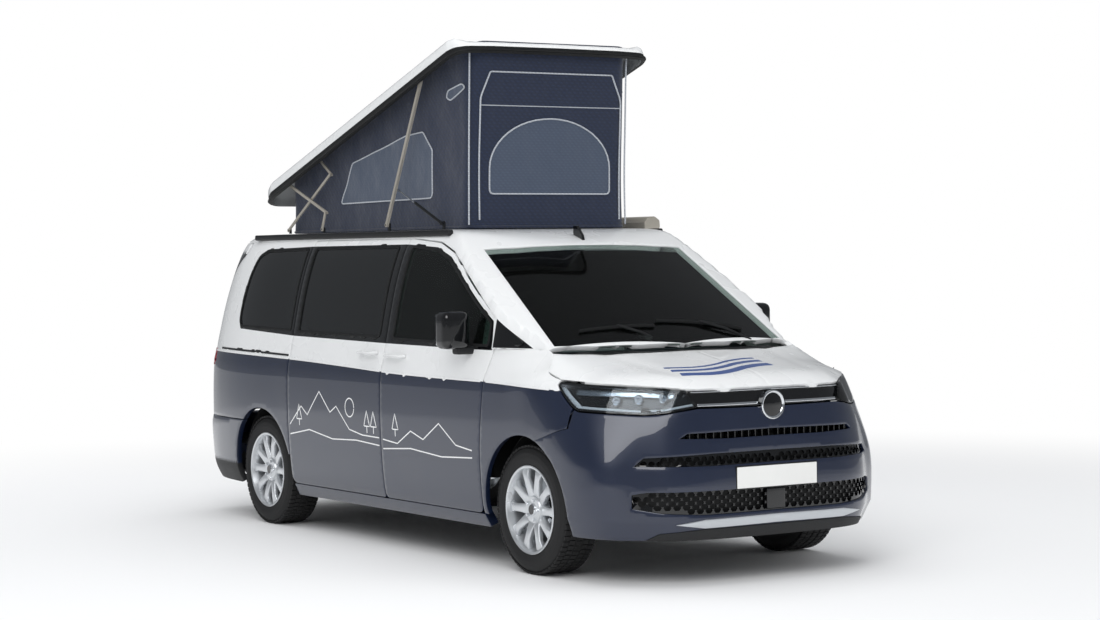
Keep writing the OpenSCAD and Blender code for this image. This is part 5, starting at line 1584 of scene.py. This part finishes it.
@dataclass
class Wheels:
    """Tyres with tread blocks and ten-spoke rims."""

    rim_r: float = 0.231
    tyre_r: float = 0.345
    wide: float = 0.215

    def spokes(self) -> bpy.types.Object:
        """Ten spokes set round the hub by geometry nodes."""
        prof = [(0.066, 0.030, -0.004, 0.036), (0.11, 0.0225, 0.006, 0.032), (0.17, 0.0195, 0.013, 0.026),
            (0.218, 0.030, 0.010, 0.030)]
        pts, faces = [], []
        for r, w, out, deep in prof:
            pts += [(r, -out, -w), (r, -out, w), (r, -out + deep, w * 1.15), (r, -out + deep, -w * 1.15)]
        for k in range(len(prof) - 1):
            a, b = 4 * k, 4 * k + 4
            faces += [(a + j, a + (j + 1) % 4, b + (j + 1) % 4, b + j) for j in range(4)]
        faces += [(0, 1, 2, 3), (15, 14, 13, 12)]
        one = mesh_of("spoke_one", np.array(pts), faces, [MAT.alloy])
        fix_normals(one)
        soft = one.modifiers.new("b", "BEVEL")
        soft.width, soft.segments = 0.006, 3
        baked(one)
        return self.array("spokes", one, 10, MAT.alloy)

    @staticmethod
    def array(name: str, one: bpy.types.Object, count: int, mat: bpy.types.Material) -> bpy.types.Object:
        """Repeats a part round the Y axis with a geometry-nodes tree.

        Args:
            name: the piece's name.
            one: the part, which becomes the repeated part.
            count: how many.
            mat: its finish.

        Returns:
            The repeated part.
        """
        tree = bpy.data.node_groups.new(name, "GeometryNodeTree")
        tree.interface.new_socket("Geometry", in_out="INPUT", socket_type="NodeSocketGeometry")
        tree.interface.new_socket("Geometry", in_out="OUTPUT", socket_type="NodeSocketGeometry")
        number = tree.interface.new_socket("Count", in_out="INPUT", socket_type="NodeSocketInt")
        start = tree.nodes.new("NodeGroupInput")
        line = add(tree, "GeometryNodeMeshLine", {"Count": start.outputs["Count"]}, Offset=(0, 0, 0))
        index = add(tree, "GeometryNodeInputIndex").outputs[0]
        share = add(tree, "ShaderNodeMath", {0: index, 1: start.outputs["Count"]},
            operation="DIVIDE").outputs[0]
        angle = add(tree, "ShaderNodeMath", {0: share}, operation="MULTIPLY")
        angle.inputs[1].default_value = 2 * math.pi
        turn = add(tree, "ShaderNodeCombineXYZ", {"Y": angle.outputs[0]}).outputs[0]
        placed = add(tree, "GeometryNodeInstanceOnPoints", {"Points": line.outputs[0],
            "Instance": start.outputs["Geometry"], "Rotation": turn})
        real = add(tree, "GeometryNodeRealizeInstances", {0: placed.outputs[0]})
        finish = add(tree, "GeometryNodeSetMaterial", {0: real.outputs[0]}, Material=mat)
        end = tree.nodes.new("NodeGroupOutput")
        tree.links.new(end.inputs[0], finish.outputs[0])
        mod = one.modifiers.new("array", "NODES")
        mod.node_group = tree
        mod[number.identifier] = count
        out = baked(one, 40)
        out.name = name
        return out

    def tread(self) -> bpy.types.Object:
        """Tread blocks round the tyre."""
        rows = []
        for k, y in enumerate((-0.082, -0.044, 0.0, 0.044, 0.082)):
            lead = 0.006 * (k % 2)
            b = block("b", (self.tyre_r - 0.014, y - 0.0175, -0.0135 + lead),
                (self.tyre_r - 0.0012, y + 0.0175, 0.0135 + lead), MAT.tyre, 0.002, 1)
            rows.append(b)
        one = joined("tread_one", rows)
        return self.array("tread", one, 66, MAT.tyre)

    def one(self, name: str, at: tuple[float, float, float], body: str, rim_node: str, tyre_node: str) -> None:
        """Makes one wheel: its outer face looks towards -Y before it is turned."""
        r, t = self.rim_r, self.tyre_r
        half = self.wide / 2
        profile = [
            (-half + 0.010, r - 0.004), (-half - 0.002, r + 0.010), (-half - 0.008,
                r + 0.045), (-half - 0.006, r + 0.070), (-half + 0.006, t - 0.022), (-half + 0.022, t - 0.009),
            (-0.03, t - 0.006), (0.03, t - 0.006), (half - 0.022, t - 0.009), (half - 0.006,
                t - 0.022), (half + 0.006, r + 0.070), (half + 0.008, r + 0.045),
            (half + 0.002, r + 0.010), (half - 0.010, r - 0.004), (0, r - 0.001),
        ]
        tyre = joined(f"{name}_tyre_skin", [lathe("t", rounded(profile, 0.006, 2), [MAT.tyre], 120),
            self.tread()])
        barrel = [
            (-half + 0.006, r - 0.002), (-half - 0.003, r + 0.006), (-half - 0.006,
                r + 0.002), (-half - 0.003, r - 0.008), (-half + 0.018, r - 0.016), (-half + 0.05, r - 0.026),
            (half - 0.03, r - 0.026), (half - 0.01, r - 0.004), (half - 0.01, r + 0.002), (0, r - 0.002),
        ]
        rim = [lathe("barrel", barrel, [MAT.alloy], 96)]
        spokes = self.spokes()
        spokes.data.transform(Matrix.Translation((0, -half + 0.022, 0)))
        rim.append(spokes)
        face = -half + 0.018
        rim.append(lathe("hub", [(face - 0.004, 0.0005), (face - 0.004, 0.030), (face, 0.034), (face, 0.070),
            (face + 0.012, 0.078), (face + 0.06, 0.078), (face + 0.06, 0.0005)], [MAT.alloy], 64))
        rim.append(lathe("cap", [(face - 0.010, 0.0005), (face - 0.010, 0.026), (face - 0.006, 0.030),
            (face + 0.002, 0.030), (face + 0.002, 0.0005)], [MAT.gloss_black, MAT.chrome], 48, [0, 1, 1, 0, 0]))
        nut = lathe("nut", [(-0.012, 0.0004), (-0.012, 0.0075), (-0.010, 0.009), (0.01, 0.009), (0.01,
            0.0004)], [MAT.chrome], 6)
        nut.data.transform(Matrix.Translation((0.053, face, 0)))
        rim.append(self.array("nuts", nut, 5, MAT.chrome))
        disc = [(half - 0.075, 0.06), (half - 0.075, 0.165), (half - 0.045, 0.165), (half - 0.045, 0.06)]
        rim.append(lathe("disc", disc, [MAT.rod], 72))
        wheel = joined(f"{name}_rim_skin", rim)
        turn = Matrix.Translation(at) @ (Matrix.Identity(4) if at[1] < 0 else Matrix.Rotation(math.pi, 4, "Z"))
        for obj, node, slot in ((tyre, tyre_node, "tyre"), (wheel, rim_node, "alloy")):
            obj.data.transform(turn)
            settle(obj, body, [node])

    def build(self) -> None:
        """Makes the four wheels."""
        for end, x in (("front", AXLE_FRONT), ("rear", AXLE_REAR)):
            for side, y in (("right", -WHEEL_Y), ("left", WHEEL_Y)):
                name = f"{end}_{side}"
                self.one(name, (x, y, WHEEL_Z), f"{name}_wheel", f"{name}_rim", f"{name}_tyre")


# ---------------------------------------------------------------- lifted roof

POLE = (-2.5625, 1.950)
LIFT = math.radians(18)


def lifted(x: Array, y: Array, z: Array) -> Array:
    """Moves points of the shut lid to where it stands raised."""
    dx, dz = x - POLE[0], z - POLE[1]
    c, s = math.cos(LIFT), math.sin(LIFT)
    return np.stack([POLE[0] + dx * c - dz * s, y, POLE[1] + dx * s + dz * c], axis=-1)


@dataclass
class Lid:
    """The lid's shell with its rubber edge."""

    corners: tuple[tuple[float, float], ...] = (
        (-0.934, 0), (-0.938, 0.430), (-0.950, 0.600), (-0.990, 0.660), (-1.060, 0.682), (-1.6, 0.682), (-2.4,
            0.682), (-3.480, 0.682), (-3.600, 0.650), (-3.645, 0.570), (-3.658, 0),
    )

    def loop(self) -> Array:
        """The plan outline, rounded, in the row frame."""
        half = from_axle(self.corners)
        full = half + [(x, -y) for x, y in half[-2:0:-1]]
        return resample(rounded(full, 0.12, 6), 0.035)

    def build(self) -> None:
        """Makes the shell, the seal and the lining."""
        base = self.loop()
        n = len(base)
        nxt, prv = np.roll(base, -1, 0), np.roll(base, 1, 0)
        d = nxt - prv
        d /= np.linalg.norm(d, axis=1)[:, None]
        inward = np.stack([-d[:, 1], d[:, 0]], 1)
        centre = base.mean(0)
        inward *= np.sign(((centre - base) * inward).sum(1))[:, None]
        end = inward[:, 0] ** 2
        s = np.linspace(0, 1, 9)
        key = [0, 0.3, 0.7, 1.0]
        side_d, side_z = Curve(key, [0, 0, 0.006, 0.024])(s), Curve(key, [1.858, 1.905, 1.946, 1.966])(s)
        end_d, end_z = Curve(key, [0, 0.010, 0.026, 0.050])(s), Curve(key, [1.858, 1.895, 1.918, 1.934])(s)
        pts, faces, index = [], [], []
        for k in range(len(s)):
            move = side_d[k] * (1 - end) + end_d[k] * end
            z = side_z[k] * (1 - end) + end_z[k] * end
            p = base + inward * move[:, None]
            pts.append(np.column_stack([p, z]))
        flat = np.concatenate(pts)
        for k in range(len(s) - 1):
            for j in range(n):
                i = (j + 1) % n
                faces.append((k * n + j, k * n + i, (k + 1) * n + i, (k + 1) * n + j))
                index.append(1 if k < 2 else 0)
        rim = pts[-1]
        net = flat_net([tuple(p[:2]) for p in rim], gap=0.035)
        across = Curve([0.024, 0.08, 0.137, 0.35, 0.69], [1.966, 1.979, 1.984, 1.988, 1.991])
        along = Curve([0.050, 0.10, 0.166, 0.25, 0.366, 0.6], [1.934, 1.955, 1.971, 1.981, 1.988, 1.991])
        x, y = net.points.T
        ends = np.minimum(base[:, 0].max() - x, x - base[:, 0].min())
        parts = np.stack([across(0.682 - np.abs(y)), along(ends)])
        soft = 0.004
        height = parts.min(0) - soft * np.log(np.exp(-(parts - parts.min(0)) / soft).sum(0))
        far = np.linalg.norm(net.points[:, None] - rim[None, :, :2], axis=2)
        near = far.argmin(1)
        mix = step(far.min(1), 0.0, 0.06)
        height = rim[near, 2] * (1 - mix) + height * mix
        top = np.column_stack([net.points, height])
        faces += [tuple(int(i) + len(flat) for i in f) for f in net.faces]
        index += [0] * len(net.faces)
        everything = np.concatenate([flat, top])
        world = lifted(everything[:, 0], everything[:, 1], everything[:, 2])
        shell = mesh_of("lid_shell", world, faces, [MAT.white, MAT.rubber, MAT.lining], np.array(index))
        bm = bmesh.new()
        bm.from_mesh(shell.data)
        bmesh.ops.remove_doubles(bm, verts=bm.verts, dist=1.5e-3)
        bmesh.ops.recalc_face_normals(bm, faces=bm.faces)
        up = sum(f.normal.z * f.calc_area() for f in bm.faces)
        if up < 0:
            bmesh.ops.reverse_faces(bm, faces=bm.faces)
        bm.to_mesh(shell.data)
        bm.free()
        wall = shell.modifiers.new("wall", "SOLIDIFY")
        wall.thickness, wall.offset, wall.material_offset, wall.use_quality_normals = 0.024, -1.0, 2, True
        settle(baked(shell, 40), "lid", ["roof_lid"])
        line = lifted(base[:, 0], base[:, 1], np.full(n, 1.869))
        settle(tube("lid_rubber_edge", line, 0.008, MAT.rubber, 8, True), "lid")


@dataclass
class Canvas:
    """The tent cloth between the roof and the lid, with its piping, gauze windows and seams."""

    x0: float = -1.80
    x1: float = 0.455
    half: float = 0.553

    def rail(self) -> Array:
        """The bottom loop, rounded at its corners, from the middle of the rear."""
        loop = rounded([(self.x0, -self.half), (self.x1, -self.half), (self.x1, self.half),
            (self.x0, self.half)], [0.05, 0.10, 0.10, 0.05], 8)
        return resample(loop, 0.03)

    @staticmethod
    def top_z(x: Array, y: Array) -> Array:
        """Height of the cloth's upper edge: the lid's lifted inside."""
        c, s = math.cos(LIFT), math.sin(LIFT)
        shut = 1.936
        dz = shut - POLE[1]
        dx = (x - POLE[0] + dz * s) / c
        return POLE[1] + dx * s + dz * c + 0 * y

    def place(self, a: Array, t: Array) -> Array:
        """A point of the cloth.

        Args:
            a: the [x, y] on the bottom loop.
            t: share of the height, 0 at the roof.

        Returns:
            Points; the cloth hangs in shallow folds and the front leans out with the lid.
        """
        x, y = a[:, 0], a[:, 1]
        front = np.clip((x - (self.x1 - 0.10)) / 0.10, 0, 1)
        span = self.top_z(x, y) - 1.85
        lean = 0.050 * front
        px = x + lean * t
        z = 1.85 + t * (self.top_z(px, y) - 1.85)
        out = np.stack([front, np.sign(y) * (1 - front)], 1)
        sag = (np.sin(x * 9.0 + t * 5.0) * 0.6 + np.sin(x * 21 + y * 14 + 7 * t) * 0.4) * 0.0055 * np.sin(np.pi * t) * step(span, 0.1, 0.5)
        pull = -0.012 * np.sin(np.pi * t) * step(span, 0.1, 0.6)
        wide = (sag + pull)[:, None] * out
        return np.stack([px + wide[:, 0], y + wide[:, 1], z], 1)

    def build(self) -> None:
        """Makes the cloth, its windows and seams, and gives each its own mesh."""
        loop = self.rail()
        n, rows = len(loop), 28
        pts = np.concatenate([self.place(loop, np.full(n, k / rows)) for k in range(rows + 1)])
        faces = [(k * n + j, k * n + (j + 1) % n, (k + 1) * n + (j + 1) % n,
            (k + 1) * n + j) for k in range(rows) for j in range(n)]
        cloth = mesh_of("tent_cloth", pts, faces, [MAT.canvas], np.zeros(len(faces), int))
        wall = cloth.modifiers.new("wall", "SOLIDIFY")
        wall.thickness, wall.offset = 0.0016, 0.0
        baked(cloth, 60)
        settle(cloth, "body", ["tent"])
        extra: list[bpy.types.Object] = []
        extra += self.windows()
        extra += self.seams()
        for obj in [cloth] + extra:
            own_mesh(obj)

    def on_front(self, y: Array, z: Array, out: float) -> Array:
        """Points on the front cloth at [y, z]."""
        top = self.top_z(np.full_like(z, self.x1), y)
        t = np.clip((z - 1.85) / (top - 1.85), 0, 1)
        a = np.column_stack([np.full_like(y, self.x1), y])
        return self.place(a, t) + np.array([out, 0, 0])

    def on_side(self, x: Array, z: Array, s: float, out: float) -> Array:
        """Points on a side cloth at [x, z]."""
        top = self.top_z(x, z * 0)
        t = np.clip((z - 1.85) / (top - 1.85), 0, 1)
        a = np.column_stack([x, np.full_like(x, s * self.half)])
        return self.place(a, t) + np.array([0, s * out, 0])

    def windows(self) -> list[bpy.types.Object]:
        """Gauze panels with piping round them, front and sides."""
        made = []
        gauze, pipe = [], []
        dome = [(0.42 * math.cos(a), 2.20 + 0.285 * math.sin(a)) for a in np.linspace(0, math.pi, 25)]
        front = rounded([(-0.42, 2.05), (0.42, 2.05)] + dome, [0.03, 0.03] + [0.0] * 25)
        net = flat_net(front, gap=0.04)
        gauze.append(self.patch(self.on_front(net.points[:, 0], net.points[:, 1], 0.003), net.faces))
        line = resample(front, 0.03)
        pipe.append(tube("p", self.on_front(line[:, 0], line[:, 1], 0.004), 0.005, MAT.piping, 6, True))
        arch = rounded([(-0.49, 1.90), (-0.49, 2.60), (-0.40, 2.80), (0.40, 2.80), (0.49, 2.60),
            (0.49, 1.90)], [0, 0.12, 0.10, 0.10, 0.12, 0])
        line = resample(arch, 0.03, False)
        pipe.append(tube("p", self.on_front(line[:, 0], np.minimum(line[:, 1], 2.745), 0.004), 0.005,
            MAT.piping, 6))
        line = np.column_stack([np.linspace(-0.49, 0.49, 30), np.full(30, 2.555)])
        pipe.append(tube("p", self.on_front(line[:, 0], line[:, 1], 0.003), 0.003, MAT.piping, 6))
        mesh = from_axle([(-2.771, 2.03), (-2.743, 2.086), (-2.602, 2.28), (-1.922, 2.42), (-1.717, 2.433),
            (-1.613, 2.321), (-1.609, 2.037)])
        vent = from_axle([(-1.438, 2.62), (-1.413, 2.66), (-1.262, 2.69), (-1.231, 2.66), (-1.392, 2.60)])
        mesh = [(x, min(z, float(self.top_z(np.array([x]), np.array([0]))[0]) - 0.06)) for x, z in mesh]
        vent = [(x, min(z, float(self.top_z(np.array([x]), np.array([0]))[0]) - 0.05)) for x, z in vent]
        for outline in (mesh, vent):
            soft = rounded(outline, 0.04)
            net = flat_net(soft, gap=0.045)
            line = resample(soft, 0.03)
            for s in (1.0, -1.0):
                faces = net.faces if s < 0 else net.faces[:, ::-1]
                gauze.append(self.patch(self.on_side(net.points[:, 0], net.points[:, 1], s, 0.003), faces))
                pipe.append(tube("p", self.on_side(line[:, 0], line[:, 1], s, 0.004), 0.0045, MAT.piping, 6,
                    True))
        made.append(joined("tent_gauze", gauze))
        made.append(joined("tent_piping", pipe))
        settle(made[0], "body")
        settle(made[1], "body")
        return made

    @staticmethod
    def patch(points: Array, faces: Array) -> bpy.types.Object:
        """A thin patch sewn on the cloth."""
        obj = mesh_of("patch", points, faces, [MAT.gauze])
        wall = obj.modifiers.new("wall", "SOLIDIFY")
        wall.thickness, wall.offset = 0.0012, -1.0
        return baked(obj, 60)

    def seams(self) -> list[bpy.types.Object]:
        """Sewn corner seams and the hem along the roof."""
        lines = []
        for s in (1.0, -1.0):
            a = np.tile([self.x1 - 0.03, s * (self.half - 0.012)], (24, 1))
            lines.append(tube("c", self.place(a, np.linspace(0.02, 0.98, 24)) + np.array([0.012, s * 0.008,
                0]), 0.005, MAT.piping, 6))
        loop = self.rail()
        base = self.place(loop, np.full(len(loop), 0.0))
        base[:, 2] = 1.860
        lines.append(tube("h", base, 0.007, MAT.canvas, 8, True))
        out = joined("tent_seams", lines)
        settle(out, "body")
        return [out]


# ---------------------------------------------------------------- cabin


@dataclass
class Cabin:
    """Seats, steering wheel and mirrors."""

    def build(self) -> None:
        """Makes every piece."""
        for k, y in enumerate((-0.43, 0.43)):
            self.seat(f"front_seat_{k}", 0.2475, y, 0.48, ["front_seats"] if k == 0 else [])
        self.seat("rear_bench", -1.4265, -0.105, 0.92, ["rear_seats"])
        self.steering()
        self.mirrors()

    def pad(self, name: str, profile: Points, x: float, y: float, wide: float,
        crown: float) -> bpy.types.Object:
        """A padded block from its side profile: crowned, with drawn-in sides and bevelled edges."""
        loop = np.array(rounded(profile, 0.025, 3), float)
        cols = 13
        n = len(loop)
        centre = loop.mean(0)
        pts, faces = [], []
        for k in range(cols):
            t = -1 + 2 * k / (cols - 1)
            swell = 1 - abs(t) ** 5 * 0.16 + crown * (1 - t * t)
            for p in loop:
                q = centre + (p - centre) * np.array([1 - abs(t) ** 6 * 0.03, swell])
                pts.append((x + q[0], y + t * wide / 2, q[1]))
        for k in range(cols - 1):
            for j in range(n):
                a, b = k * n + j, k * n + (j + 1) % n
                faces.append((a, b, b + n, a + n))
        faces += [tuple(range(n)), tuple(range((cols - 1) * n, cols * n))[::-1]]
        obj = mesh_of(name, np.array(pts), faces, [MAT.seat])
        fix_normals(obj)
        edge = obj.modifiers.new("edge", "BEVEL")
        edge.width, edge.segments, edge.limit_method = 0.014, 3, "ANGLE"
        soft = obj.modifiers.new("soft", "SUBSURF")
        soft.levels = soft.render_levels = 1
        return baked(obj, 70)

    def seat(self, name: str, x: float, y: float, wide: float, nodes: Sequence[str]) -> None:
        """One seat: cushion, back and head rests on a plinth."""
        cushion = [(0.0, 0.78), (0.0, 0.885), (0.06, 0.905), (0.42, 0.935), (0.485, 0.90), (0.48, 0.80)]
        back = [(-0.02, 0.83), (-0.165, 1.40), (-0.15, 1.425), (-0.075, 1.43), (0.02, 1.06), (0.055, 0.92)]
        parts = [self.pad(f"{name}_cushion", cushion, x, y, wide, 0.05),
            self.pad(f"{name}_back", back, x, y, wide * 0.96, 0.015)]
        heads = (y,) if wide < 0.6 else (y - 0.24, y + 0.24)
        for k, hy in enumerate(heads):
            head = [(-0.142, 1.448), (-0.142, 1.60), (-0.12, 1.614), (-0.08, 1.612), (-0.058, 1.58),
                (-0.058, 1.46)]
            parts.append(self.pad(f"{name}_head_{k}", head, x, hy, 0.25, 0.02))
        for k, part in enumerate(parts):
            settle(part, "body", nodes if k == 0 else [])
        base = [block(f"{name}_plinth", (x + 0.02, y - wide * 0.42, 0.515),
            (x + 0.44, y + wide * 0.42, 0.775), MAT.black, 0.02, 3)]
        for hy in heads:
            for s in (-0.06, 0.06):
                base.append(tube("post", np.array([(x - 0.11, hy + s, 1.40), (x - 0.10, hy + s, 1.47)]),
                    0.006, MAT.chrome, 8))
        settle(joined(f"{name}_base", base), "body")

    def steering(self) -> None:
        """Steering wheel: rim, three spokes and boss."""
        rim = lathe("rim", [(0.016 * math.sin(a), 0.175 + 0.016 * math.cos(a)) for a in np.linspace(0,
            2 * math.pi, 13)[:-1]], [MAT.skin], 72)
        parts = [rim]
        for a in (0, 180, 270):
            t = math.radians(a)
            parts.append(tube("s", np.array([(0.05 * math.cos(t), 0.012, 0.05 * math.sin(t)),
                (0.172 * math.cos(t), 0, 0.172 * math.sin(t))]), 0.019, MAT.skin, 10, False, 0.5))
        parts.append(lathe("boss", [(-0.012, 0.0005), (-0.012, 0.045), (-0.004, 0.062), (0.03, 0.062), (0.045,
            0.03), (0.045, 0.0005)], [MAT.skin], 40))
        wheel = joined("steering_wheel_skin", parts)
        wheel.data.transform(Matrix.Translation(STEERING_AT) @ Matrix.Rotation(math.radians(STEERING_TILT), 4,
            "Y") @ Matrix.Rotation(-math.pi / 2, 4, "Z"))
        settle(wheel, "wheel_of_steering", [])

    def mirrors(self) -> None:
        """Door mirrors."""
        for s, word in ((-1.0, "right"), (1.0, "left")):
            lo, hi = sorted((s * 0.955, s * 1.124))
            shell = block("shell", (1.000, lo, 1.185), (1.128, hi, 1.392), MAT.gloss_black, 0.050, 8)
            arm_lo, arm_hi = sorted((s * 0.912, s * 1.03))
            arm = block("arm", (1.035, arm_lo, 1.155), (1.105, arm_hi, 1.200), MAT.black, 0.016, 4)
            glass = block("glass", (0.9985, lo + 0.018, 1.205), (1.003, hi - 0.018, 1.374), MAT.chrome,
                0.0018, 2)
            settle(joined(f"{word}_mirror_shell", [shell, arm, glass]), f"{word}_door",
                [f"{word}_mirror"])


@dataclass
class SideArt:
    """Plain line drawings in white vinyl on the dark flank: hills, pines, a sun and a road."""

    wide: float = 0.007

    def build(self) -> None:
        """Makes the drawings on the sliding doors and the front doors."""
        rear: list[Points] = []
        rear.append([(-1.06, 0.66), (-0.90, 0.78), (-0.82, 0.73), (-0.66, 0.88), (-0.52, 0.76), (-0.44, 0.80),
            (-0.28, 0.67), (-0.12, 0.645), (0.085, 0.64)])
        rear.append([(-1.06, 0.60), (-0.80, 0.64), (-0.50, 0.60), (-0.20, 0.61), (0.085, 0.595)])
        rear.append(arc(-0.27, 0.80, 0.055, 0, 355, 30))
        for x in (-0.93, -0.06, 0.02):
            rear.append([(x, 0.66), (x, 0.70)])
            rear.append([(x - 0.035, 0.70), (x, 0.79), (x + 0.035, 0.70), (x - 0.03, 0.70)])
        self.put("line_art_slide", rear, "body", Side.BOTH)
        front = [
            [(0.13, 0.635), (0.30, 0.62), (0.46, 0.70), (0.60, 0.66), (0.78, 0.76), (0.96, 0.65), (1.13, 0.63)],
            [(0.13, 0.58), (0.45, 0.60), (0.80, 0.575), (1.13, 0.59)],
            [(0.28, 0.66), (0.28, 0.70)],
            [(0.245, 0.70), (0.28, 0.79), (0.315, 0.70), (0.25, 0.70)],
        ]
        self.put("line_art_right_door", front, "right_door", Side.RIGHT)
        self.put("line_art_left_door", front, "left_door", Side.LEFT)

    def put(self, name: str, lines: Sequence[Points], body: str, side: Side) -> None:
        """Lays thin ribbons on the flank."""
        parts = [panel("l", flat_net(band(resample(line, 0.03, False), self.wide), gap=0.02), BODY.ring,
            [MAT.vinyl], None, side, 0.0006, 0.0, 0.0009) for line in lines]
        settle(joined(name, parts), body)


# ---------------------------------------------------------------- kept parts, stage and camera


@dataclass
class Kept:
    """Finishes for the parts of the frame that show as they are."""

    nodes: dict[str, bpy.types.Object]

    def build(self) -> None:
        """Dresses every node that no piece stands for."""
        table = {
            "b_pillars": MAT.lining, "dashboard": MAT.skin, "engine_block": MAT.steel, "floor_pan": MAT.felt, "front_axle": MAT.steel, "rear_axle": MAT.steel,
            "kitchen_unit": MAT.laminate, "wheel_housings": MAT.felt, "lift_mounts": MAT.steel, "gas_cylinders": MAT.steel, "gas_rods": MAT.rod, "roof_fin": MAT.gloss_black,
            "steering_wheel": MAT.skin, "main_struts": MAT.anodised,
        }
        for name, obj in self.nodes.items():
            mat = table.get(name, MAT.anodised if any(w in name for w in ("arm", "link",
                "strut")) else MAT.steel)
            if not obj.data.materials:
                obj.data.materials.append(mat)
            for k in range(len(obj.data.materials)):
                obj.data.materials[k] = mat


class Stage:
    """Floor, light and camera."""

    def build(self) -> None:
        """Sets the studio."""
        mat = bpy.data.materials.new("studio_floor")
        mat.use_nodes = True
        tree = mat.node_tree
        tree.nodes.clear()
        where = add(tree, "ShaderNodeTexCoord").outputs["Object"]
        away = add(tree, "ShaderNodeVectorMath", {0: where}, operation="LENGTH").outputs["Value"]
        fade = add(tree, "ShaderNodeMapRange", {"Value": away}, interpolation_type="SMOOTHSTEP", From_Min=3.6,
            From_Max=9.0).outputs[0]
        grain = add(tree, "ShaderNodeTexNoise", {"Vector": where}, Scale=40.0).outputs[0]
        tone = add(tree, "ShaderNodeMapRange", {"Value": grain}, To_Min=0.88, To_Max=0.90).outputs[0]
        matt = add(tree, "ShaderNodeBsdfDiffuse", {"Color": tone}).outputs[0]
        glow = add(tree, "ShaderNodeEmission", Color=(1, 1, 1, 1), Strength=1.0).outputs[0]
        seen = add(tree, "ShaderNodeLightPath").outputs["Is Camera Ray"]
        share = add(tree, "ShaderNodeMath", {0: fade, 1: seen}, operation="MULTIPLY").outputs[0]
        mixed = add(tree, "ShaderNodeMixShader", {0: share, 1: matt, 2: glow}).outputs[0]
        add(tree, "ShaderNodeOutputMaterial", {"Surface": mixed})
        floor = mesh_of("studio_floor", np.array([(-60, -60, 0), (60, -60, 0), (60, 60, 0), (-60, 60, 0)],
            float), [(0, 1, 2, 3)], [mat])
        for name, at, size, power, aim in (
            ("key", (7.5, -7.0, 7.0), 6.0, 430, (0, 0, 1)),
            ("fill", (9.0, 7.5, 5.0), 7.0, 150, (0, 0, 1)),
            ("top", (0.0, 0.0, 9.0), 8.0, 300, (0, 0, 0)),
            ("back", (-9.0, -4.0, 5.0), 6.0, 170, (0, 0, 1)),
        ):
            data = bpy.data.lights.new(name, "AREA")
            data.size, data.energy = size, power
            obj = bpy.data.objects.new(name, data)
            bpy.context.scene.collection.objects.link(obj)
            obj.location = at
            obj.rotation_euler = (Vector(aim) - Vector(at)).to_track_quat("-Z", "Y").to_euler()
            obj.visible_glossy = name == "key"
        world = bpy.data.worlds.new("studio")
        bpy.context.scene.world = world
        world.use_nodes = True
        tree = world.node_tree
        tree.nodes.clear()
        path = add(tree, "ShaderNodeLightPath")
        soft = add(tree, "ShaderNodeBackground", Color=(0.92, 0.94, 0.97, 1), Strength=0.62).outputs[0]
        white = add(tree, "ShaderNodeBackground", Color=(1, 1, 1, 1), Strength=1.0).outputs[0]
        dim = add(tree, "ShaderNodeBackground", Color=(0.90, 0.94, 1.0, 1), Strength=0.22).outputs[0]
        base = add(tree, "ShaderNodeMixShader", {0: path.outputs["Is Glossy Ray"], 1: soft, 2: dim}).outputs[0]
        mix = add(tree, "ShaderNodeMixShader", {0: path.outputs["Is Camera Ray"], 1: base, 2: white}).outputs[0]
        add(tree, "ShaderNodeOutputWorld", {"Surface": mix})
        camera = self.camera()
        bpy.context.scene.view_settings.view_transform = "Standard"

    @staticmethod
    def camera() -> bpy.types.Object:
        """The camera, on the right of the nose."""
        yaw, pitch, roll = (math.radians(v) for v in CAMERA_TURN)
        forward = Vector((math.cos(pitch) * math.cos(yaw), math.cos(pitch) * math.sin(yaw), math.sin(pitch)))
        right = forward.cross(Vector((0, 0, 1))).normalized()
        up = right.cross(forward)
        side = right * math.cos(roll) + up * math.sin(roll)
        top = up * math.cos(roll) - right * math.sin(roll)
        data = bpy.data.cameras.new("camera")
        data.lens, data.sensor_width = CAMERA_LENS, CAMERA_SENSOR
        data.clip_end = 200
        obj = bpy.data.objects.new("camera", data)
        bpy.context.scene.collection.objects.link(obj)
        turn = Matrix((side, top, -forward)).transposed().to_4x4()
        obj.matrix_world = Matrix.Translation(CAMERA_AT) @ turn
        bpy.context.scene.camera = obj
        return obj


def main() -> None:
    """Builds the van in order."""
    global MAT
    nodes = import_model()["nodes"]
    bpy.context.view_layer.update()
    MAT = Palette()
    for piece in (Flanks(), Front(), Upper(), Tail(), Wheels(), Lid(), Canvas(), Cabin(), SideArt(),
        Kept(nodes), Stage()):
        piece.build()
        LOG.info("built %s", type(piece).__name__)


if __name__ == "__main__":
    logging.basicConfig(level=logging.INFO, format="%(message)s")
    main()
